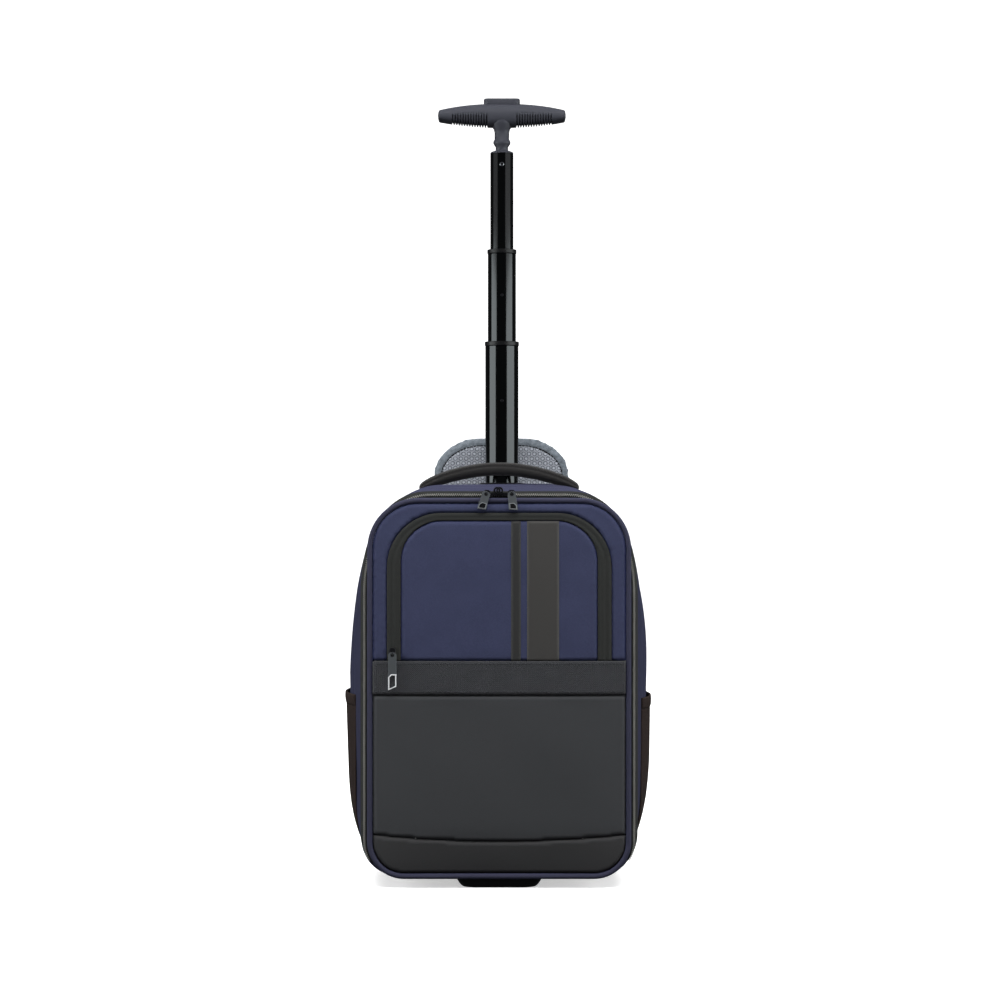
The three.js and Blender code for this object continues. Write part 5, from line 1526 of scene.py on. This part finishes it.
print("sliders at +-", SLIDER_X, "mm and at", round(slider_x), "mm")

# %% [markdown]
# ## The telescopic pole
# Three round tubes slide in a fourth one that is fixed in the bag. The lower and the middle one
# carry a plastic collar round the mouth, and a spring pin that shows as a small round button. A
# plated screw holds the grip in the upper one.

# %% Tubes, collars and pins
TUBE_WALL = 1.4
# radius, bottom, top, body
STAGES = {
    "outer_tube": (22.7, 18.3, 459.0, "bag"),
    "lower_tube": (19.7, 415.0, 624.2, "lower_stage"),
    "middle_tube": (16.7, 585.5, 733.7, "middle_stage"),
    "upper_tube": (13.7, 695.0, 853.0, "upper_stage"),
}


def tube_profile(radius, inner, bottom, top, edge=0.3):
    return [(inner, bottom), (inner, top - edge), (inner + edge, top), (radius - edge, top),
            (radius, top - edge), (radius, bottom + edge), (radius - edge, bottom),
            (inner + edge, bottom)]


for name, (radius, bottom, top, body) in STAGES.items():
    drawn = tube_profile(radius, radius - TUBE_WALL, bottom, top)
    piece(f"{name}_drawn", lathe(drawn, POLE, 96), anodised, body=body, replaces=[name], sharp=30)
# name, radius of its tube, radius of the tube inside, top, body
for name, radius, through, top, body in (("lower_collar", 19.7, 16.7, 629.5, "lower_stage"),
                                         ("middle_collar", 16.7, 13.7, 739.0, "middle_stage")):
    ring = tube_profile(radius + 0.6, through + 0.3, top - 5.0, top, 0.5)
    piece(f"{name}_moulded", lathe(ring, POLE, 96), collar_abs, body=body, replaces=[name], sharp=40)
bezel = [(20.0, 460.3), (20.0, 461.6), (20.3, 461.9), (25.4, 461.9), (26.6, 461.3), (27.0, 460.3)]
piece("socket_bezel_moulded", lathe(bezel, POLE, 96), collar_abs, replaces=["socket_bezel"], sharp=40)


def front_button(name, radius, tube_radius, height, finish, body, replaced=()):
    """A round button with a ring round it, in the front of a tube."""
    face = TUBE_Y - tube_radius
    dome = [(ON_AXIS, face - 0.35), (radius * 0.6, face - 0.3), (radius * 0.9, face - 0.1),
            (radius, face + 0.25), (radius, face + 1.3), (ON_AXIS, face + 1.3)]
    turned = lathe(dome, [TUBE_X, 0, height], 32, "y")
    piece(name, turned, finish, body=body, replaces=replaced, sharp=40)


front_button("lower_pin", 2.0, 19.7, 559.0, black_zinc, "lower_stage")
front_button("middle_pin", 2.0, 16.7, 684.0, black_zinc, "middle_stage")
front_button("upper_screw_head", 2.7, 13.7, 839.5, plated_steel, "upper_stage", ["pole_screw"])
front_button("upper_screw_socket", 1.3, 14.15, 839.5, black_zinc, "upper_stage")
print("pole stages:", len(STAGES))

# %% [markdown]
# ## The grip
# A T-shaped grip of glass-filled nylon, with fourteen grooves under each hand. They run round its
# lower half, 3.1 mm apart, and the top and the middle stay smooth.

# %% Grip, neck and button
GRIP_HALF, GRIP_LOW, GRIP_HIGH, GRIP_DEEP = 76.0, 884.0, 912.5, 15.0
RIBS, RIB_PITCH, RIB_START = 14, 3.1, 17.0


def grip_ring(x, slim=1.0, groove=0.0, count=48):
    share = min(abs(x) / GRIP_HALF, 1)
    top, bottom = GRIP_HIGH - 8 * share ** 2.4, GRIP_LOW + 7 * share ** 2.2
    section = superellipse(count, (GRIP_DEEP - 3 * share) * slim, (top - bottom) / 2 * slim, 2.25)
    angles = np.linspace(0, 2 * math.pi, count, endpoint=False)
    lower = np.clip((0.1 - np.sin(angles)) / 0.25, 0, 1)
    section = section * (1 - 0.2 * groove * lower)[:, None]
    return [[TUBE_X + x, TUBE_Y + u, (top + bottom) / 2 + v] for u, v in section]


rib_end = RIB_START + RIBS * RIB_PITCH
RIB_STEPS = 8
half = [grip_ring(x) for x in np.linspace(0, RIB_START - 1, 8)]
for step in range(RIBS * RIB_STEPS + 1):
    wave = math.sin(2 * math.pi * step / RIB_STEPS - 0.6)
    half.append(grip_ring(RIB_START + step * RIB_PITCH / RIB_STEPS, groove=max(0.0, wave) ** 0.5))
for turn in np.linspace(0.05, 1, 16):
    along = math.sin(turn * math.pi / 2)
    end = max((along - 0.86) / 0.14, 0)
    half.append(grip_ring(rib_end + (GRIP_HALF - rib_end) * along, math.sqrt(max(1 - end ** 2.2, 0.01))))
mirrored = [[[2 * TUBE_X - x, y, z] for x, y, z in ring] for ring in half[1:][::-1]]
grip = piece("grip_moulded", skin_of(mirrored + half), grip_nylon, body="upper_stage",
             replaces=["grip"], sharp=60)
neck = [(ON_AXIS, 843), (12.0, 843), (12.0, 853.3), (13.7, 853.3), (13.7, 854.2), (12.6, 855.2),
        (7.4, 857), (7.4, 861), (9.6, 864), (10.3, 866), (10.0, 868), (8.7, 870), (8.7, 878), (9.6, 882),
        (14.0, 888), (14.0, 892), (ON_AXIS, 892)]
piece("grip_neck_moulded", lathe(neck, POLE, 64), grip_nylon, body="upper_stage", sharp=40)


def rounded_box(half_x, half_y, corner, bottom, top, edge):
    """An upright rounded block whose top edge is rounded too."""
    rings = []
    levels = [(bottom, 0.4), (bottom + 0.4, 0.0), (top - edge, 0.0)]
    levels += [(top - edge + edge * math.sin(a), edge * (1 - math.cos(a)))
               for a in np.linspace(0.3, math.pi / 2, 6)]
    for z, inset in levels:
        r = max(corner - inset, 0.5)
        line = evenly(rounded(half_x - inset, -half_y + inset, half_y - inset, (r, r), (r, r)), count=80)
        rings.append(np.stack([TUBE_X + line[:, 0], TUBE_Y + line[:, 1], np.full(80, z)], 1))
    return skin_of(rings)


seat = piece("button_cutter", rounded_box(21.8, 7.3, 6.3, 903.2, 940.0, 0.5), grip_nylon,
             body="upper_stage")
cut(grip, [seat])
piece("grip_button_moulded", rounded_box(21.5, 7.0, 6.0, 907.2, 918.5, 1.6), grip_nylon, body="button",
      replaces=["grip_button"], sharp=50)
print("ribs:", 2 * RIBS)

# %% [markdown]
# ## Running gear
# The bag stands on a moulded foot in front and on two wheels at the back, each in a housing that
# is let into the cloth. The tyre is poured polyurethane on a nylon core.

# %% Foot and base plate
FOOT_HALF, FOOT_FRONT, FOOT_BACK, FOOT_TOP = 50, 13, 46, 13.0
FOOT_INSET = 9.4
foot_rings = []
# height and how far the side is drawn in there
for z, inset in ((0, FOOT_INSET), (0.3, 8.2), (1.2, 7.0), (2.6, 5.6), (4.5, 4.1), (7.0, 2.6),
                 (10.0, 1.2), (FOOT_TOP, 0)):
    line = evenly(rounded(FOOT_HALF - inset, FOOT_FRONT + inset / 2, FOOT_BACK - inset / 2,
                          (15, 13), (15, 13)), count=120)
    foot_rings.append(np.stack([line[:, 0], line[:, 1], np.full(120, z)], 1))
piece("front_foot_moulded", skin_of(foot_rings), moulded_pp, replaces=["front_foot"], sharp=50)
base_low, base_high = [corner - [0, FRONT_Y, 0] for corner in span("base_plate")]
bevelled(piece("base_plate_moulded", brick(base_low, base_high), moulded_pp, replaces=["base_plate"]),
         1.0)
print("foot", round(2 * (FOOT_HALF - FOOT_INSET)), "mm wide where it stands")

# %% [markdown]
# A housing is a rounded block with a well for the wheel, open downwards and to the back. The
# wheel turns on a steel axle: a webbed core, and a tyre with a groove round its middle.

# %% Housings and wheels
WHEEL_ROOM, AXLE_HOLE = 2.7, 4.3
WELL_HALF = WHEEL_WIDTH / 2 + WHEEL_SIDE_ROOM
well_reach, well_slope = WHEEL_RADIUS + WHEEL_ROOM, math.degrees(math.asin(0.75))
well_line = np.vstack([
    [[WHEEL_Y - well_reach, -11], [236, -11], [236, WHEEL_RADIUS + well_reach * 0.75],
     [WHEEL_Y + well_reach * 0.66, WHEEL_RADIUS + well_reach * 0.75]],
    arc((WHEEL_Y, WHEEL_RADIUS), well_reach, well_slope + 4, 180, 40),
])
for side, hand in ((-1, "left"), (1, "right")):
    centre = side * WHEEL_X
    housing = piece(f"wheel_housing_{hand}_moulded",
                    prism(housing_line(), centre - HOUSING_HALF, centre + HOUSING_HALF), moulded_pp,
                    replaces=[f"wheel_housing_{hand}"])
    well = piece("well_cutter", prism(well_line, centre - WELL_HALF, centre + WELL_HALF), moulded_pp)
    hub = [centre, WHEEL_Y, WHEEL_RADIUS]
    bore = [(ON_AXIS, -24), (AXLE_HOLE, -24), (AXLE_HOLE, 24), (ON_AXIS, 24)]
    cut(housing, [well, piece("bore_cutter", lathe(bore, hub, 48, "x"), moulded_pp)])
    bevelled(housing, 0.8, 2, 50)
    axle = [(ON_AXIS, -17.2), (3.6, -17.2), (4.0, -16.8), (4.0, 16.8), (3.6, 17.2), (ON_AXIS, 17.2)]
    piece(f"wheel_axle_{hand}_steel", lathe(axle, hub, 40, "x"), plated_steel,
          replaces=[f"wheel_axle_{hand}"], sharp=40)
    core = [(4.3, -10), (7.5, -10), (8.5, -7), (19, -6), (20.5, -10), (23.6, -10), (24, -9.4),
            (24, 9.4), (23.6, 10), (20.5, 10), (19, 6), (8.5, 7), (7.5, 10), (4.3, 10)]
    piece(f"wheel_core_{hand}_moulded", lathe(core, hub, 64, "x"), grip_nylon,
          body=f"wheel_{hand}", replaces=[f"wheel_core_{hand}"], sharp=40)
    tyre = [(24.3, -10.5), (26, -10.9), (28.3, -10.2), (29.6, -8.4), (30, -6), (30, -3.4), (29.3, -3),
            (29.3, 3), (30, 3.4), (30, 6), (29.6, 8.4), (28.3, 10.2), (26, 10.9), (24.3, 10.5)]
    piece(f"wheel_tyre_{hand}_cast", lathe(tyre, hub, 96, "x"), tyre_pu, body=f"wheel_{hand}",
          replaces=[f"wheel_tyre_{hand}"], sharp=50)
print("wheels of", 2 * WHEEL_RADIUS, "mm")

# %% [markdown]
# ## Floor
# The photograph has a white ground with a short soft shadow. The floor here is a wide shallow bowl
# of white that glows by itself: painted light, not a lamp. Its wall goes all round, so that the
# ground is white from every side. The painted glow is stronger towards the wall and weaker in the
# middle, where the shadow of the bag has to show. Only the camera sees it, because a mirror image of
# a bright floor would turn the tubes of the pole white.

# %% Floor
MIDDLE_GLOW, WALL_GLOW = 0.5, 1.05
GLOW_START, GLOW_END = 0.8, 2.6
painted_glow_floor, tree, shader = start_material("white_floor_painted_glow", roughness=0.9)
shader.inputs["Base Color"].default_value = (0.9, 0.9, 0.9, 1)
shader.inputs["Specular IOR Level"].default_value = 0.1
# Painted light: the floor glows by itself, more towards the wall and less in the middle.
shader.inputs["Emission Color"].default_value = (1, 1, 1, 1)
place = node(tree, "ShaderNodeTexCoord")
reach = node(tree, "ShaderNodeVectorMath", {"operation": "LENGTH"}, {0: place.outputs["Object"]})
glow = node(tree, "ShaderNodeMapRange",
            {"interpolation_type": "SMOOTHSTEP", "From Min": GLOW_START, "From Max": GLOW_END,
             "To Min": MIDDLE_GLOW, "To Max": WALL_GLOW}, {"Value": reach.outputs["Value"]})
tree.links.new(glow.outputs["Result"], shader.inputs["Emission Strength"])
BOWL_FLAT, BOWL_BEND = 5000, 1500
bend = arc((BOWL_FLAT, BOWL_BEND), BOWL_BEND, -90, 0, 24)[1:].tolist()
slope = [[0.02, 0], [BOWL_FLAT, 0], *bend, [BOWL_FLAT + BOWL_BEND, BOWL_FLAT + BOWL_BEND]]
compass = np.linspace(0, 2 * math.pi, 96, endpoint=False)
bowl_rings = [[[r * math.cos(a), r * math.sin(a), z] for a in compass] for r, z in slope]
floor = piece("floor", skin_of(bowl_rings, capped=False), painted_glow_floor, body=None)
floor.visible_diffuse = floor.visible_glossy = floor.visible_shadow = False
print(f"floor: {2 * slope[-1][0] / 1000:.0f} m across")

# %% [markdown]
# ## Light
# Two tall soft lights at the sides draw the two grey bands on each tube. Nothing bright stands in
# front, so the middle of each tube reflects black. These side lights show in smooth surfaces only.
# The cloth is lit by broad lights from above and in front, by one on each side, and by two behind
# for the back of the bag and the floor there. No light shows to the camera itself.

# %% Lights
def soft_light(name, place, target, width, height, watts, colour="#ffffff", mirrored=False):
    lamp = bpy.data.lights.new(name, "AREA")
    lamp.shape, lamp.size, lamp.size_y, lamp.energy = "RECTANGLE", width, height, watts
    lamp.color = linear(colour)[:3]
    made = bpy.data.objects.new(name, lamp)
    made.location = place
    direction = np.array(target, float) - np.array(place, float)
    made.rotation_euler = Vector(direction).to_track_quat("-Z", "Y").to_euler()
    made.visible_glossy, made.visible_diffuse = mirrored, not mirrored
    made.visible_camera = False
    bpy.context.scene.collection.objects.link(made)


soft_light("left_bank", (-2.3, -1.05, 0.5), (-1.3, -1.05, 0.5), 2.5, 0.9, 26, "#f4fbfb", mirrored=True)
soft_light("right_bank", (2.3, -1.5, 0.5), (1.3, -1.5, 0.5), 3.4, 0.9, 34, "#f4fbfb", mirrored=True)
soft_light("left_top_bank", (-2.3, -1.05, 1.3), (-1.3, -1.05, 1.3), 2.5, 0.7, 2.5, mirrored=True)
soft_light("right_top_bank", (2.3, -1.5, 1.3), (1.3, -1.5, 1.3), 3.4, 0.7, 5, mirrored=True)
soft_light("left_side", (-2.3, -0.8, 0.9), (0, 0.05, 0.3), 1.2, 1.6, 44)
soft_light("right_side", (2.3, -0.8, 0.9), (0, 0.05, 0.3), 1.2, 1.6, 44)
soft_light("key", (0, -1.2, 1.95), (0, 0, 0.3), 2.0, 0.8, 72)
soft_light("overhead", (0, -0.1, 2.8), (0, 0, 0.3), 2.4, 1.6, 12)
soft_light("front_fill", (0, -3.4, 1.0), (0, 0, 0.3), 2.6, 1.2, 10)
soft_light("back_top", (0, 1.3, 2.3), (0, 0.2, 0), 2.4, 1.0, 26)
soft_light("back_wash", (0, 0.6, 3.2), (0, 2.0, 0.4), 4.0, 1.5, 90)
world = bpy.data.worlds.new("studio")
bpy.context.scene.world = world
world.use_nodes = True
world.node_tree.nodes["Background"].inputs["Color"].default_value = (0.9, 0.95, 1.0, 1)
world.node_tree.nodes["Background"].inputs["Strength"].default_value = 0.06
print("lights:", len(bpy.data.lights))
